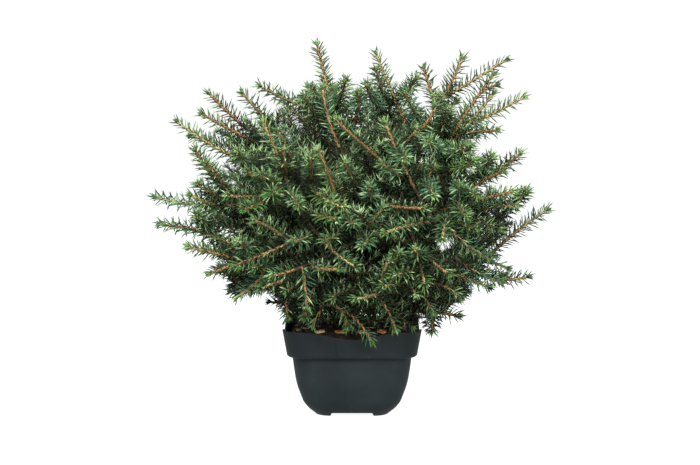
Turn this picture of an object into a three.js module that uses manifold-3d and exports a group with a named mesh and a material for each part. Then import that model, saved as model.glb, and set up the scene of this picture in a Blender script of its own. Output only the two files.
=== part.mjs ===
// Dwarf Serbian spruce in a square nursery pot.
// Millimetres, +Z up, origin on the ground below the middle of the pot, -Y is the front.

import * as THREE from 'three';
import Module from 'manifold-3d';
import { mergeVertices } from 'three/addons/utils/BufferGeometryUtils.js';

const wasm = await Module();
wasm.setup();

const TAU = 2 * Math.PI;
const CLEARANCE = 0.3;

// Pot levels: [height, half width, corner radius] of the outside
const POT_HEIGHT = 112.5;
const POT_WALL = 1.8;
const FOOT_HEIGHT = 4;
const FOOT_WIDTH = 12;
const FOOT_SLANT = 1;
const NOTCH_ROUNDING = 0.6;
const FOOT_LEVEL = [0, 45.5, 17.5];
const BODY_LEVELS = [
  [FOOT_HEIGHT + NOTCH_ROUNDING, 50.5, 21],
  [10, 56, 22.5],
  [18, 61.6, 24],
  [27, 65.1, 25.5],
  [42, 70, 27],
  [60, 73.2, 28.3],
  [77, 75.3, 29],
];
const COLLAR_LEVELS = [
  [78, 79.9, 29],
  [81, 82.2, 29.5],
];
const RIM_LEVEL = [POT_HEIGHT, 87.5, 30];
const FLOOR_LEVEL = [FOOT_HEIGHT + POT_WALL, 47, 18.5];
const SCALLOP_DEPTH = 9.2;
const SCALLOP_HALF_WIDTH = 60;
const SIDE_STATIONS = [-1, -0.96, -0.66, -0.33, 0, 0.33, 0.66, 0.96, 1];
const SOIL_STATIONS = [-1, 0, 1];
const CORNER_STEPS = 3;

// Soil mound: [share of the inner width, height], from the wall inwards
const SOIL_TOP = 117;
const SOIL_LEVELS = [
  [0.985, 99],
  [0.9, 106],
  [0.72, 112],
  [0.45, 115.5],
  [0.25, SOIL_TOP],
];

// Bark chips on the front slope of the mound: [across, behind, length, width, turn in degrees]
const CHIP_THICKNESS = 3;
const CHIP_CORNERS = 6;
const CHIP_FOOT_SHARE = 0.9;
const CHIP_TOP_SHARE = 0.8;
const CHIPS = [
  [-40, -65, 14, 7, 22],
  [-14, -65.5, 17, 8, -8],
  [13, -65, 13, 7, 18],
  [37, -65, 14, 8, -24],
];

// Trunk
const TRUNK_ROOT_RADIUS = 15;
const TRUNK_RADIUS = 9.5;
const TRUNK_TIP_RADIUS = 3;
const TRUNK_FLARE_HEIGHT = 5.6;
const TRUNK_SHARE = 0.5;
const TRUNK_RINGS = 12;
const TRUNK_SIDES = 10;
const TRUNK_RING_CROWDING = 1.4;
const TRUNK_BEND = new THREE.Vector3(-2, 0, 300);
const LEADER_TIP = new THREE.Vector3(-44, 0, 468);

// Boughs and the foliage masses that carry them on to the crown's surface
const BOUGH_COUNT = 24;
const FIRST_AZIMUTH = 200;
const GOLDEN_ANGLE = 137.508;
const LOWEST_RISE = 3;
const HIGHEST_RISE = 74;
const REACH_LEAST = 84;
const REACH_GAIN = 266;
const REACH_FADE = 23;
const REACH_SPREAD = 0.05;
const ARCH = 0.06;
const BOUGH_SHARE = 0.31;
const BOUGH_ROOT_RADIUS = 4.4;
const BOUGH_TIP_RADIUS = 2.3;
const TOP_BOUGH_THINNING = 0.3;
const BOUGH_TAPER = 1.3;
const BOUGH_STEPS = 3;
const BOUGH_SIDES = 5;
const LOWEST_FORK = 127;
const HIGHEST_FORK = 262;

// Tips of the shoots that stand out of the crown's outline: [across, behind, above the ground]
const OUTLINE_TIPS = [
  [229, -30, 170],
  [251, 12, 258],
  [216, -16, 329],
  [218, 20, 403],
  [196, -8, 452],
  [143, 30, 451],
  [87, -26, 438],
  [45, 24, 396],
  [-120, -18, 411],
  [-182, 22, 404],
  [-198, -34, 376],
  [-224, 10, 373],
  [-252, 14, 270],
  [-245, -30, 238],
  [-212, 34, 207],
  [-151, -20, 142],
];

// Tips of the shoots that fill the crown between those
const CROWN_TIPS = [
  [-188, 10, 177],
  [221, -70, 280],
  [-200, 20, 337],
  [150, -60, 395],
  [60, -70, 425],
  [-156, -80, 356],
  [122, 70, 382],
  [150, 40, 420],
  [0, -80, 405],
  [176, -50, 165],
  [-208, 40, 352],
  [-130, -70, 388],
  [110, -70, 400],
  [170, -60, 400],
];

// Tips of the shoots that hang over the front of the rim or reach out above it
const FRONT_TIPS = [
  [52, -126, 116],
  [24, -122, 112],
  [-8, -190, 170],
  [38, -222, 205],
  [-98, -226, 245],
  [142, -205, 243],
  [98, -98, 117],
  [60, -150, 160],
  [10, -130, 135],
  [30, -165, 235],
  [52, -150, 190],
  [8, -160, 205],
  [64, -170, 225],
  [20, -110, 170],
  [-30, -190, 290],
  [-60, -200, 262],
  [0, -150, 325],
  [-45, -130, 345],
];

// Tips of the shoots that reach furthest behind
const BACK_TIPS = [
  [40, 234, 250],
  [-30, 226, 215],
];
const SNAP_ANGLE = 15;

// Openings that the sky shows through, in the crown and between its outer shoots: [x, height, radius]
const SKY_GAPS = [
  [68, 398, 13],
  [186, 300, 17],
  [182, 338, 15],
  [210, 302, 12],
  [223, 233, 12],
  [220, 195, 11],
  [164, 144, 15],
  [132, 118, 13],
  [6, 436, 18],
  [-20, 452, 12],
  [-61, 434, 16],
  [-97, 430, 18],
  [-212, 300, 14],
  [-215, 256, 11],
  [-225, 218, 11],
  [-207, 190, 11],
  [-173, 155, 11],
  [-138, 126, 15],
];

// Branching of a foliage mass
const WHORLS = [0.07, 0.36, 0.66];
const WHORL_SHOOTS = 3;
const SIDE_SHOOT_LENGTH = 112;
const SIDE_SHOOT_FADE = 0.5;
const FORK_ANGLE = 43;
const FORWARD_BEND = 0.42;
const LENGTH_TRIES = [1, 0.84, 0.7, 0.56, 0.44];
const SHORTEST_SHOOT = 30;
const SHOOT_ROOT_RADIUS = 1.7;
const SHOOT_TIP_RADIUS = 0.9;
const SHOOT_SPACING = 10;
const PARENT_SPACING = 9;
const SHOOT_ROOM = 9;
const INNER_REACH = 0.97;
const TESTED_PLACES = [0.4, 0.6, 0.8, 1];
const SHOOT_SAMPLES = 24;
const TURN_SPREAD = 0.5;
const LENGTH_LEAST = 0.85;
const LENGTH_SPREAD = 0.25;
const CELL_MARGIN = 6;
const FORK_LENGTH = 7;
const BUD_LENGTH = 4;
const ROOT_LENGTH = 8;
const NAMED_SHOOT_ARCH = 0.08;
const LONGEST_NAMED_SHOOT = 170;
const LOWEST_DROOP = 97;
const SEED = 20;

// Needles
const NEEDLE_LENGTH = 14.5;
const NEEDLE_ANGLE = 60;
const NEEDLE_TRIES = [1, 0.78, 0.55];
const NEEDLE_MARGIN = 1.2;
const NEEDLE_ROOM = 2;
const NEEDLE_SPAN = 18;

const AXIS_SAMPLES = 40;
const UP = new THREE.Vector3(0, 0, 1);
const CROWN_FOOT = new THREE.Vector3(0, 0, 113);

const radians = (degrees) => (degrees * Math.PI) / 180;

function seededRandom(seed) {
  let state = seed >>> 0;
  return () => {
    state = (state + 0x6d2b79f5) >>> 0;
    let mixed = Math.imul(state ^ (state >>> 15), 1 | state);
    mixed = (mixed + Math.imul(mixed ^ (mixed >>> 7), 61 | mixed)) ^ mixed;
    return ((mixed ^ (mixed >>> 14)) >>> 0) / 4294967296;
  };
}

// Geometry helpers

function meshGeometry(points, triangles) {
  const geometry = new THREE.BufferGeometry();
  const values = points.flatMap((point) => [point.x, point.y, point.z]);
  geometry.setAttribute('position', new THREE.Float32BufferAttribute(values, 3));
  geometry.setIndex(triangles.flat());
  geometry.computeVertexNormals();
  return geometry;
}

// Closed body through rings of equally many points, with a fan at each end.
function loft(rings, firstCentre, lastCentre) {
  const count = rings[0].length;
  const points = rings.flat();
  const triangles = [];
  for (let ring = 0; ring + 1 < rings.length; ring += 1) {
    for (let step = 0; step < count; step += 1) {
      const next = (step + 1) % count;
      const low = ring * count;
      const high = low + count;
      triangles.push([low + step, low + next, high + next]);
      triangles.push([low + step, high + next, high + step]);
    }
  }
  const bottom = points.push(firstCentre) - 1;
  const top = points.push(lastCentre) - 1;
  const last = (rings.length - 1) * count;
  for (let step = 0; step < count; step += 1) {
    const next = (step + 1) % count;
    triangles.push([bottom, next, step]);
    triangles.push([top, last + step, last + next]);
  }
  return meshGeometry(points, triangles);
}

// Curve of one limb: a start, a point that it bends round, and an end.
function limbCurve(start, bend, end) {
  return new THREE.QuadraticBezierCurve3(start, bend, end);
}

function sideways(direction) {
  const helper = Math.abs(direction.z) < 0.9 ? UP : new THREE.Vector3(1, 0, 0);
  return helper.clone().addScaledVector(direction, -helper.dot(direction)).normalize();
}

function ringPoint(centre, direction, side, angle, radius) {
  const across = direction.clone().cross(side);
  return centre
    .clone()
    .addScaledVector(side, radius * Math.cos(angle))
    .addScaledVector(across, radius * Math.sin(angle));
}

function carriedSide(side, direction) {
  return side.clone().addScaledVector(direction, -side.dot(direction)).normalize();
}

// Tapering round limb along part of a curve.
function limbGeometry(curve, from, to, steps, sides, radiusAt) {
  const rings = [];
  let side = sideways(curve.getTangent(from));
  for (let step = 0; step <= steps; step += 1) {
    const share = step / steps;
    const place = from + (to - from) * share;
    const direction = curve.getTangent(place);
    side = carriedSide(side, direction);
    const ring = [];
    for (let corner = 0; corner < sides; corner += 1) {
      const angle = (TAU * corner) / sides;
      ring.push(ringPoint(curve.getPoint(place), direction, side, angle, radiusAt(share)));
    }
    rings.push(ring);
  }
  return loft(rings, curve.getPoint(from), curve.getPoint(to));
}

function toManifold(geometry) {
  const bare = geometry.clone();
  bare.deleteAttribute('normal');
  const merged = mergeVertices(bare, 1e-5);
  const vertProperties = new Float32Array(merged.getAttribute('position').array);
  const triVerts = new Uint32Array(merged.index.array);
  return new wasm.Manifold(new wasm.Mesh({ numProp: 3, vertProperties, triVerts }));
}

function fromManifold(solid) {
  const mesh = solid.getMesh();
  const geometry = new THREE.BufferGeometry();
  geometry.setAttribute('position', new THREE.Float32BufferAttribute(mesh.vertProperties, 3));
  geometry.setIndex(Array.from(mesh.triVerts));
  geometry.computeVertexNormals();
  return geometry;
}

// Pot and soil

// Outline of a square with round corners; dip(station) lowers or lifts a point of a side.
function squareRing(half, corner, height, dip = () => 0, stations = SIDE_STATIONS) {
  const ring = [];
  const flat = half - corner;
  for (let quarter = 0; quarter < 4; quarter += 1) {
    const turn = (quarter * TAU) / 4;
    const place = (x, y, z) =>
      new THREE.Vector3(x * Math.cos(turn) - y * Math.sin(turn), x * Math.sin(turn) + y * Math.cos(turn), z);
    for (const station of stations) {
      ring.push(place(station * flat, -half, height + dip(station, flat)));
    }
    for (let step = 1; step < CORNER_STEPS; step += 1) {
      const angle = (TAU / 4) * (step / CORNER_STEPS);
      const x = flat + corner * Math.sin(angle);
      const y = -flat - corner * Math.cos(angle);
      ring.push(place(x, y, height));
    }
  }
  return ring;
}

const betweenFeet = (station) => (Math.abs(station) < 1 ? FOOT_HEIGHT : 0);

function scallop(station, flat) {
  const share = Math.min(1, Math.abs(station * flat) / SCALLOP_HALF_WIDTH);
  return -SCALLOP_DEPTH * 0.5 * (1 + Math.cos(Math.PI * share));
}

function outerRing([height, half, corner], dip) {
  return squareRing(half, corner, height, dip);
}

function innerRing([height, half, corner], dip) {
  return squareRing(half - POT_WALL, corner - POT_WALL, height, dip);
}

function potGeometry() {
  const [, footHalf, footCorner] = FOOT_LEVEL;
  const footInside = footHalf - FOOT_WIDTH;
  const insideCorner = footCorner - FOOT_WIDTH;
  const [floorHeight, floorHalf, floorCorner] = FLOOR_LEVEL;
  const rings = [
    squareRing(footInside - FOOT_SLANT, insideCorner, FOOT_HEIGHT),
    squareRing(footInside, insideCorner, 0, betweenFeet),
    outerRing(FOOT_LEVEL, betweenFeet),
    ...BODY_LEVELS.map((level) => outerRing(level)),
    ...COLLAR_LEVELS.map((level) => outerRing(level)),
    outerRing(RIM_LEVEL, scallop),
    innerRing(RIM_LEVEL, scallop),
    innerRing(COLLAR_LEVELS[0]),
    ...BODY_LEVELS.slice(1).reverse().map((level) => innerRing(level)),
    squareRing(floorHalf, floorCorner, floorHeight),
  ];
  return loft(rings, new THREE.Vector3(0, 0, FOOT_HEIGHT), new THREE.Vector3(0, 0, floorHeight));
}

// Half width and corner radius of the soil where it meets the wall at its upper edge.
function soilEdge() {
  const [bodyTop, bodyHalf, bodyCorner] = BODY_LEVELS[BODY_LEVELS.length - 1];
  const [rimHeight, rimHalf, rimCorner] = RIM_LEVEL;
  const share = (SOIL_LEVELS[0][1] - bodyTop) / (rimHeight - bodyTop);
  const inset = POT_WALL + CLEARANCE;
  return [
    bodyHalf + (rimHalf - bodyHalf) * share - inset,
    bodyCorner + (rimCorner - bodyCorner) * share - inset,
  ];
}

function soilGeometry() {
  const [floorHeight, floorHalf, floorCorner] = FLOOR_LEVEL;
  const inset = POT_WALL + CLEARANCE;
  const soilRing = (half, corner, height) => squareRing(half, corner, height, () => 0, SOIL_STATIONS);
  const [edgeHalf, edgeCorner] = soilEdge();
  const bottom = floorHeight + CLEARANCE;
  const rings = [
    soilRing(floorHalf - 2 * CLEARANCE, floorCorner, bottom),
    ...BODY_LEVELS.slice(1).map(([height, half, corner]) => soilRing(half - inset, corner - inset, height)),
    ...SOIL_LEVELS.map(([share, height]) => soilRing(edgeHalf * share, edgeCorner * share, height)),
  ];
  return loft(rings, new THREE.Vector3(0, 0, bottom), new THREE.Vector3(0, 0, SOIL_TOP));
}

// Height and slope of the mound's front face at a distance in front of the trunk.
function soilFront(distance) {
  const [edgeHalf] = soilEdge();
  const outer = SOIL_LEVELS.findLastIndex(([share]) => share * edgeHalf >= distance);
  const [outerShare, outerHeight] = SOIL_LEVELS[outer];
  const [innerShare, innerHeight] = SOIL_LEVELS[outer + 1];
  const slope = (innerHeight - outerHeight) / ((outerShare - innerShare) * edgeHalf);
  return { height: outerHeight + slope * (outerShare * edgeHalf - distance), tilt: Math.atan(slope) };
}

function chipGeometry(length, width, random) {
  const ring = (height, shrink) => {
    const points = [];
    for (let corner = 0; corner < CHIP_CORNERS; corner += 1) {
      const angle = (TAU * corner) / CHIP_CORNERS;
      const reach = shrink * (LENGTH_LEAST + LENGTH_SPREAD * random());
      const x = (length / 2) * reach * Math.cos(angle);
      const y = (width / 2) * reach * Math.sin(angle);
      points.push(new THREE.Vector3(x, y, height));
    }
    return points;
  };
  const rings = [ring(0, CHIP_FOOT_SHARE), ring(CHIP_THICKNESS / 2, 1), ring(CHIP_THICKNESS, CHIP_TOP_SHARE)];
  return loft(rings, new THREE.Vector3(0, 0, 0), new THREE.Vector3(0, 0, CHIP_THICKNESS));
}

// Skeleton of the crown

function reachAt(rise) {
  return REACH_LEAST + REACH_GAIN * (1 - Math.exp(-Math.max(rise, 0) / REACH_FADE));
}

function directionOf(azimuth, rise) {
  const flat = Math.cos(radians(rise));
  return new THREE.Vector3(
    flat * Math.cos(radians(azimuth)),
    flat * Math.sin(radians(azimuth)),
    Math.sin(radians(rise)),
  );
}

// Tips of the boughs' leading shoots, spread over the crown by the golden angle.
function spreadTips(random) {
  const tips = [];
  const lowest = Math.sin(radians(LOWEST_RISE));
  const highest = Math.sin(radians(HIGHEST_RISE));
  for (let index = 0; index < BOUGH_COUNT; index += 1) {
    const height = lowest + ((highest - lowest) * (index + 0.5)) / BOUGH_COUNT;
    const rise = THREE.MathUtils.radToDeg(Math.asin(height));
    const azimuth = FIRST_AZIMUTH + index * GOLDEN_ANGLE;
    const reach = reachAt(rise) * (1 - REACH_SPREAD * random());
    tips.push(CROWN_FOOT.clone().addScaledVector(directionOf(azimuth, rise), reach));
  }
  return tips;
}

// Moves the nearest leading tip on to each outline shoot, and returns the shoots left over.
function snapTips(tips) {
  const taken = new Set();
  const left = [];
  for (const [x, y, z] of OUTLINE_TIPS) {
    const target = new THREE.Vector3(x, y, z);
    const aim = target.clone().sub(CROWN_FOOT);
    const angles = tips.map((tip) => THREE.MathUtils.radToDeg(aim.angleTo(tip.clone().sub(CROWN_FOOT))));
    angles.forEach((angle, index) => {
      if (taken.has(index)) angles[index] = 180;
    });
    const closest = angles.indexOf(Math.min(...angles));
    if (angles[closest] < SNAP_ANGLE) {
      tips[closest] = target;
      taken.add(closest);
    } else {
      left.push(target);
    }
  }
  return left;
}

function trunkCurve() {
  const foot = new THREE.Vector3(0, 0, SOIL_TOP + CLEARANCE);
  return limbCurve(foot, TRUNK_BEND, LEADER_TIP);
}

// Axis of a bough and its mass, from the trunk's middle to the leading tip, arching outwards.
function boughCurve(trunk, tip, order) {
  const forkHeight = LOWEST_FORK + ((HIGHEST_FORK - LOWEST_FORK) * order) / (BOUGH_COUNT - 1);
  const share = (forkHeight - SOIL_TOP) / (LEADER_TIP.z - SOIL_TOP);
  const start = trunk.getPoint(share);
  start.z = forkHeight;
  const chord = tip.clone().sub(start);
  const length = chord.length();
  chord.normalize();
  const lift = UP.clone().addScaledVector(chord, -UP.dot(chord));
  const bend = start.clone().add(tip).multiplyScalar(0.5).addScaledVector(lift, ARCH * length);
  return limbCurve(start, bend, tip);
}

function samplesOf(curve, from, to, count) {
  const samples = [];
  for (let step = 0; step <= count; step += 1) {
    samples.push(curve.getPoint(from + ((to - from) * step) / count));
  }
  return samples;
}

function nearest(point, samples) {
  let least = Infinity;
  for (const sample of samples) {
    least = Math.min(least, point.distanceToSquared(sample));
  }
  return Math.sqrt(least);
}

// How much nearer a point lies to its own mass's axis than to any other axis.
function cellMargin(point, owner, axes) {
  const own = nearest(point, axes[owner]);
  let margin = Infinity;
  axes.forEach((axis, index) => {
    if (index !== owner) margin = Math.min(margin, nearest(point, axis) - own);
  });
  return margin;
}

function inSkyGap(point) {
  return SKY_GAPS.some(([x, z, radius]) => Math.hypot(point.x - x, point.z - z) < radius);
}

function overPot(point, room) {
  const half = RIM_LEVEL[1] + room;
  const inside = Math.abs(point.x) < half && Math.abs(point.y) < half;
  return inside ? point.z > SOIL_TOP + room : point.z > LOWEST_DROOP + room;
}

function withinReach(point, share) {
  const arm = point.clone().sub(CROWN_FOOT);
  const rise = THREE.MathUtils.radToDeg(Math.asin(arm.z / arm.length()));
  return arm.length() < reachAt(rise) * share;
}

function shootFits(curve, owner, axes, mass, parent, strict) {
  for (const place of TESTED_PLACES) {
    const point = curve.getPoint(place);
    if (!overPot(point, SHOOT_ROOM) || inSkyGap(point)) return false;
    if (strict && !withinReach(point, INNER_REACH)) return false;
    if (cellMargin(point, owner, axes) < CELL_MARGIN) return false;
    for (const other of mass.shoots) {
      const room = other === parent ? PARENT_SPACING : SHOOT_SPACING;
      if (nearest(point, other.samples) < room) return false;
    }
  }
  return true;
}

function addShoot(mass, curve, from, parent, fork) {
  const samples = samplesOf(curve, from, 1, SHOOT_SAMPLES);
  const shoot = { curve, from, samples, children: [], fork };
  mass.shoots.push(shoot);
  if (parent) parent.children.push(shoot);
  return shoot;
}

// A side shoot that leaves its parent at the fork angle and bends forward.
function sideCurve(parent, fork, turn, length) {
  const start = parent.curve.getPoint(fork);
  const forward = parent.curve.getTangent(fork);
  const side = sideways(forward);
  const across = forward.clone().cross(side);
  const out = side.multiplyScalar(Math.cos(turn)).addScaledVector(across, Math.sin(turn));
  const angle = radians(FORK_ANGLE);
  const first = forward.clone().multiplyScalar(Math.cos(angle)).addScaledVector(out, Math.sin(angle));
  const second = first.clone().addScaledVector(forward, FORWARD_BEND).normalize();
  const bend = start.clone().addScaledVector(first, length / 2);
  const end = bend.clone().addScaledVector(second, length / 2);
  return limbCurve(start, bend, end);
}

function forkPlace(stem, whorl) {
  return stem.from + (1 - stem.from) * WHORLS[whorl];
}

function growWhorls(mass, owner, axes, random) {
  const stem = mass.shoots[0];
  WHORLS.forEach((share, whorl) => {
    const firstTurn = TAU * random();
    for (let index = 0; index < WHORL_SHOOTS; index += 1) {
      const turn = firstTurn + (TAU * index) / WHORL_SHOOTS + TURN_SPREAD * (random() - 0.5);
      const spread = LENGTH_LEAST + LENGTH_SPREAD * random();
      const full = SIDE_SHOOT_LENGTH * (1 - SIDE_SHOOT_FADE * share) * spread;
      for (const part of LENGTH_TRIES) {
        const curve = sideCurve(stem, forkPlace(stem, whorl), turn, full * part);
        const longEnough = full * part > SHORTEST_SHOOT;
        if (longEnough && shootFits(curve, owner, axes, mass, stem, true)) {
          addShoot(mass, curve, 0, stem, forkPlace(stem, whorl));
          break;
        }
      }
    }
  });
}

// A shoot to a named tip grows from the stem of the mass whose space the tip lies in.
function growNamedShoot(masses, axes, tip) {
  const distances = axes.map((axis) => nearest(tip, axis));
  const owner = distances.indexOf(Math.min(...distances));
  const mass = masses[owner];
  const stem = mass.shoots[0];
  for (const whorl of [1, 0, 2]) {
    const start = stem.curve.getPoint(forkPlace(stem, whorl));
    const chord = tip.clone().sub(start);
    const length = chord.length();
    chord.normalize();
    const lift = UP.clone().addScaledVector(chord, -UP.dot(chord));
    const bend = start.clone().add(tip).multiplyScalar(0.5).addScaledVector(lift, NAMED_SHOOT_ARCH * length);
    const curve = limbCurve(start, bend, tip);
    if (length < LONGEST_NAMED_SHOOT && shootFits(curve, owner, axes, mass, stem, false)) {
      addShoot(mass, curve, 0, stem, forkPlace(stem, whorl));
      return;
    }
  }
}

function growCrown() {
  const random = seededRandom(SEED);
  const trunk = trunkCurve();
  const tips = spreadTips(random);
  const left = snapTips(tips);
  const curves = tips.map((tip, index) => boughCurve(trunk, tip, index));
  curves.push(trunk);
  const axes = curves.map((curve) => samplesOf(curve, 0, 1, AXIS_SAMPLES));
  const masses = curves.map((curve, index) => {
    const share = index < BOUGH_COUNT ? BOUGH_SHARE : TRUNK_SHARE;
    const mass = { curve, share, shoots: [] };
    addShoot(mass, curve, share + CLEARANCE / curve.getLength(), null, 0);
    return mass;
  });
  const named = [...CROWN_TIPS, ...FRONT_TIPS, ...BACK_TIPS].map((tip) => new THREE.Vector3(...tip));
  left.concat(named).forEach((tip) => growNamedShoot(masses, axes, tip));
  masses.forEach((mass, owner) => growWhorls(mass, owner, axes, random));
  return { trunk, masses, axes };
}

// Skin of a foliage mass: three-sided twigs whose faces are drawn out into needles

function needleFits(point, shoot, owner, crown) {
  if (!overPot(point, NEEDLE_ROOM)) return false;
  if (cellMargin(point, owner, crown.axes) < NEEDLE_MARGIN) return false;
  const own = nearest(point, shoot.samples);
  return crown.masses[owner].shoots.every(
    (other) => other === shoot || nearest(point, other.samples) > own + NEEDLE_MARGIN,
  );
}

function addNeedle(skin, face, shoot, place) {
  const [a, b, c] = face.map((index) => skin.points[index]);
  const middle = a.clone().add(b).add(c).divideScalar(3);
  const axisPoint = shoot.curve.getPoint(place);
  const forward = shoot.curve.getTangent(place);
  const out = middle.clone().sub(axisPoint);
  out.addScaledVector(forward, -out.dot(forward)).normalize();
  const angle = radians(NEEDLE_ANGLE);
  const aim = forward.clone().multiplyScalar(Math.cos(angle)).addScaledVector(out, Math.sin(angle));
  const length = NEEDLE_LENGTH * (LENGTH_LEAST + LENGTH_SPREAD * skin.random());
  for (const share of NEEDLE_TRIES) {
    const tip = middle.clone().addScaledVector(aim, length * share);
    if (needleFits(tip, shoot, skin.owner, skin.crown)) {
      const peak = skin.points.push(tip) - 1;
      skin.triangles.push([face[0], face[1], peak], [face[1], face[2], peak], [face[2], face[0], peak]);
      return;
    }
  }
  skin.triangles.push(face);
}

// Places along a shoot where its rings sit: the ends of each fork, with needle spans between.
function stationsOf(shoot, start) {
  const length = shoot.curve.getLength();
  const forks = [...new Set(shoot.children.map((child) => child.fork))].sort((a, b) => a - b);
  const half = FORK_LENGTH / 2 / length;
  const marks = [{ place: start, kind: 'start' }];
  for (const fork of forks) {
    marks.push({ place: fork - half, kind: 'needles' }, { place: fork + half, kind: 'fork', fork });
  }
  marks.push({ place: 1, kind: 'needles' });
  const stations = [marks[0]];
  for (const mark of marks.slice(1)) {
    const last = stations[stations.length - 1].place;
    const span = (mark.place - last) * length;
    const parts = mark.kind === 'fork' ? 1 : Math.max(1, Math.round(span / NEEDLE_SPAN));
    for (let part = 1; part < parts; part += 1) {
      stations.push({ place: last + ((mark.place - last) * part) / parts, kind: 'needles' });
    }
    stations.push(mark);
  }
  return stations;
}

function shootRadius(place, from) {
  const share = (place - from) / (1 - from);
  return SHOOT_ROOT_RADIUS + (SHOOT_TIP_RADIUS - SHOOT_ROOT_RADIUS) * share;
}

function addRing(skin, shoot, place, side, firstAngle) {
  const direction = shoot.curve.getTangent(place);
  const radius = shootRadius(place, shoot.from);
  return [0, 1, 2].map((corner) => {
    const angle = firstAngle + (corner * TAU) / 3;
    return skin.points.push(ringPoint(shoot.curve.getPoint(place), direction, side, angle, radius)) - 1;
  });
}

// The six faces between a ring and the next one, which is turned by a sixth of a circle.
function bandFaces(low, high) {
  return [0, 1, 2].flatMap((corner) => {
    const next = (corner + 1) % 3;
    return [
      [low[corner], low[next], high[corner]],
      [low[next], high[next], high[corner]],
    ];
  });
}

function faceNormal(points, face) {
  const [a, b, c] = face.map((index) => points[index]);
  return b.clone().sub(a).cross(c.clone().sub(a)).normalize();
}

// Gives each side shoot of a fork the free face that looks its way most.
function dealFaces(skin, faces, children) {
  const dealt = new Map();
  for (const child of children) {
    const aim = child.curve.getTangent(0);
    const free = faces.filter((face) => !dealt.has(face));
    free.sort((a, b) => faceNormal(skin.points, b).dot(aim) - faceNormal(skin.points, a).dot(aim));
    dealt.set(free[0], child);
  }
  return dealt;
}

function firstAngleFrom(skin, face, shoot, place, side) {
  const direction = shoot.curve.getTangent(place);
  const across = direction.clone().cross(side);
  const corners = face.map((index) => skin.points[index]);
  const middle = corners[0].clone().add(corners[1]).add(corners[2]).divideScalar(3);
  let sine = 0;
  let cosine = 0;
  corners.forEach((corner, index) => {
    const arm = corner.clone().sub(middle);
    const angle = Math.atan2(arm.dot(across), arm.dot(side)) - (index * TAU) / 3;
    sine += Math.sin(angle);
    cosine += Math.cos(angle);
  });
  return Math.atan2(sine, cosine) + TAU / 6;
}

function skinShoot(skin, shoot, rootFace) {
  const start = rootFace ? ROOT_LENGTH / shoot.curve.getLength() : shoot.from;
  const stations = stationsOf(shoot, start);
  let side = sideways(shoot.curve.getTangent(start));
  let angle = rootFace ? firstAngleFrom(skin, rootFace, shoot, start, side) : 0;
  let ring = addRing(skin, shoot, start, side, angle);
  if (rootFace) {
    skin.triangles.push(...bandFaces(rootFace, ring));
  } else {
    skin.triangles.push([ring[2], ring[1], ring[0]]);
  }
  for (let index = 1; index < stations.length; index += 1) {
    const { place, kind, fork } = stations[index];
    side = carriedSide(side, shoot.curve.getTangent(place));
    angle += TAU / 6;
    const high = addRing(skin, shoot, place, side, angle);
    const faces = bandFaces(ring, high);
    const children = kind === 'fork' ? shoot.children.filter((child) => child.fork === fork) : [];
    const dealt = dealFaces(skin, faces, children);
    const middle = (place + stations[index - 1].place) / 2;
    faces.forEach((face, order) => {
      if (dealt.has(face)) skinShoot(skin, dealt.get(face), face);
      else if (kind === 'needles' && order % 2 === 0) addNeedle(skin, face, shoot, middle);
      else skin.triangles.push(face);
    });
    ring = high;
  }
  const end = shoot.curve.getPoint(1).addScaledVector(shoot.curve.getTangent(1), BUD_LENGTH);
  const bud = skin.points.push(end) - 1;
  [0, 1, 2].forEach((corner) => skin.triangles.push([ring[corner], ring[(corner + 1) % 3], bud]));
}

function massGeometry(crown, owner) {
  const skin = { points: [], triangles: [], random: seededRandom(SEED + owner), owner, crown };
  skinShoot(skin, crown.masses[owner].shoots[0], null);
  return meshGeometry(skin.points, skin.triangles);
}

// Trunk and boughs

function trunkRadius(height) {
  const above = height - SOIL_TOP;
  const flare = (TRUNK_ROOT_RADIUS - TRUNK_RADIUS) * Math.exp(-above / TRUNK_FLARE_HEIGHT);
  const top = TRUNK_SHARE * (LEADER_TIP.z - SOIL_TOP);
  const share = Math.min(1, above / top);
  return flare + TRUNK_RADIUS + (TRUNK_TIP_RADIUS - TRUNK_RADIUS) * share;
}

// The trunk from its flat cut at the soil to the foot of its leader, with extra room round it.
function trunkGeometry(trunk, extra) {
  const rings = [];
  for (let step = 0; step <= TRUNK_RINGS; step += 1) {
    const place = TRUNK_SHARE * Math.pow(step / TRUNK_RINGS, TRUNK_RING_CROWDING);
    const centre = trunk.getPoint(place);
    const radius = trunkRadius(centre.z) + extra;
    const ring = [];
    for (let corner = 0; corner < TRUNK_SIDES; corner += 1) {
      const angle = (TAU * corner) / TRUNK_SIDES;
      ring.push(new THREE.Vector3(radius * Math.cos(angle), radius * Math.sin(angle), 0).add(centre));
    }
    rings.push(ring);
  }
  return loft(rings, trunk.getPoint(0), trunk.getPoint(TRUNK_SHARE));
}

// A bough tapers from its root, and the boughs higher up the trunk are thinner.
function boughGeometry(mass, index, trunkRoom) {
  const root = BOUGH_ROOT_RADIUS * (1 - (TOP_BOUGH_THINNING * index) / BOUGH_COUNT);
  const taper = (share) => BOUGH_TIP_RADIUS + (root - BOUGH_TIP_RADIUS) * (1 - share) ** BOUGH_TAPER;
  const limb = toManifold(limbGeometry(mass.curve, 0, mass.share, BOUGH_STEPS, BOUGH_SIDES, taper));
  return fromManifold(limb.subtract(trunkRoom));
}

// Materials and the whole plant

const POT_PLASTIC = new THREE.MeshStandardMaterial({ color: 0x34373a, roughness: 0.55, metalness: 0 });
const SOIL = new THREE.MeshStandardMaterial({ color: 0x1c1612, roughness: 0.95, metalness: 0 });
const BARK = new THREE.MeshStandardMaterial({ color: 0x8a5a34, roughness: 0.85, metalness: 0 });
const CHIP = new THREE.MeshStandardMaterial({ color: 0xa5774d, roughness: 0.85, metalness: 0 });
const FOLIAGE = new THREE.MeshStandardMaterial({ color: 0x2f4f3c, roughness: 0.6, metalness: 0 });

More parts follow.
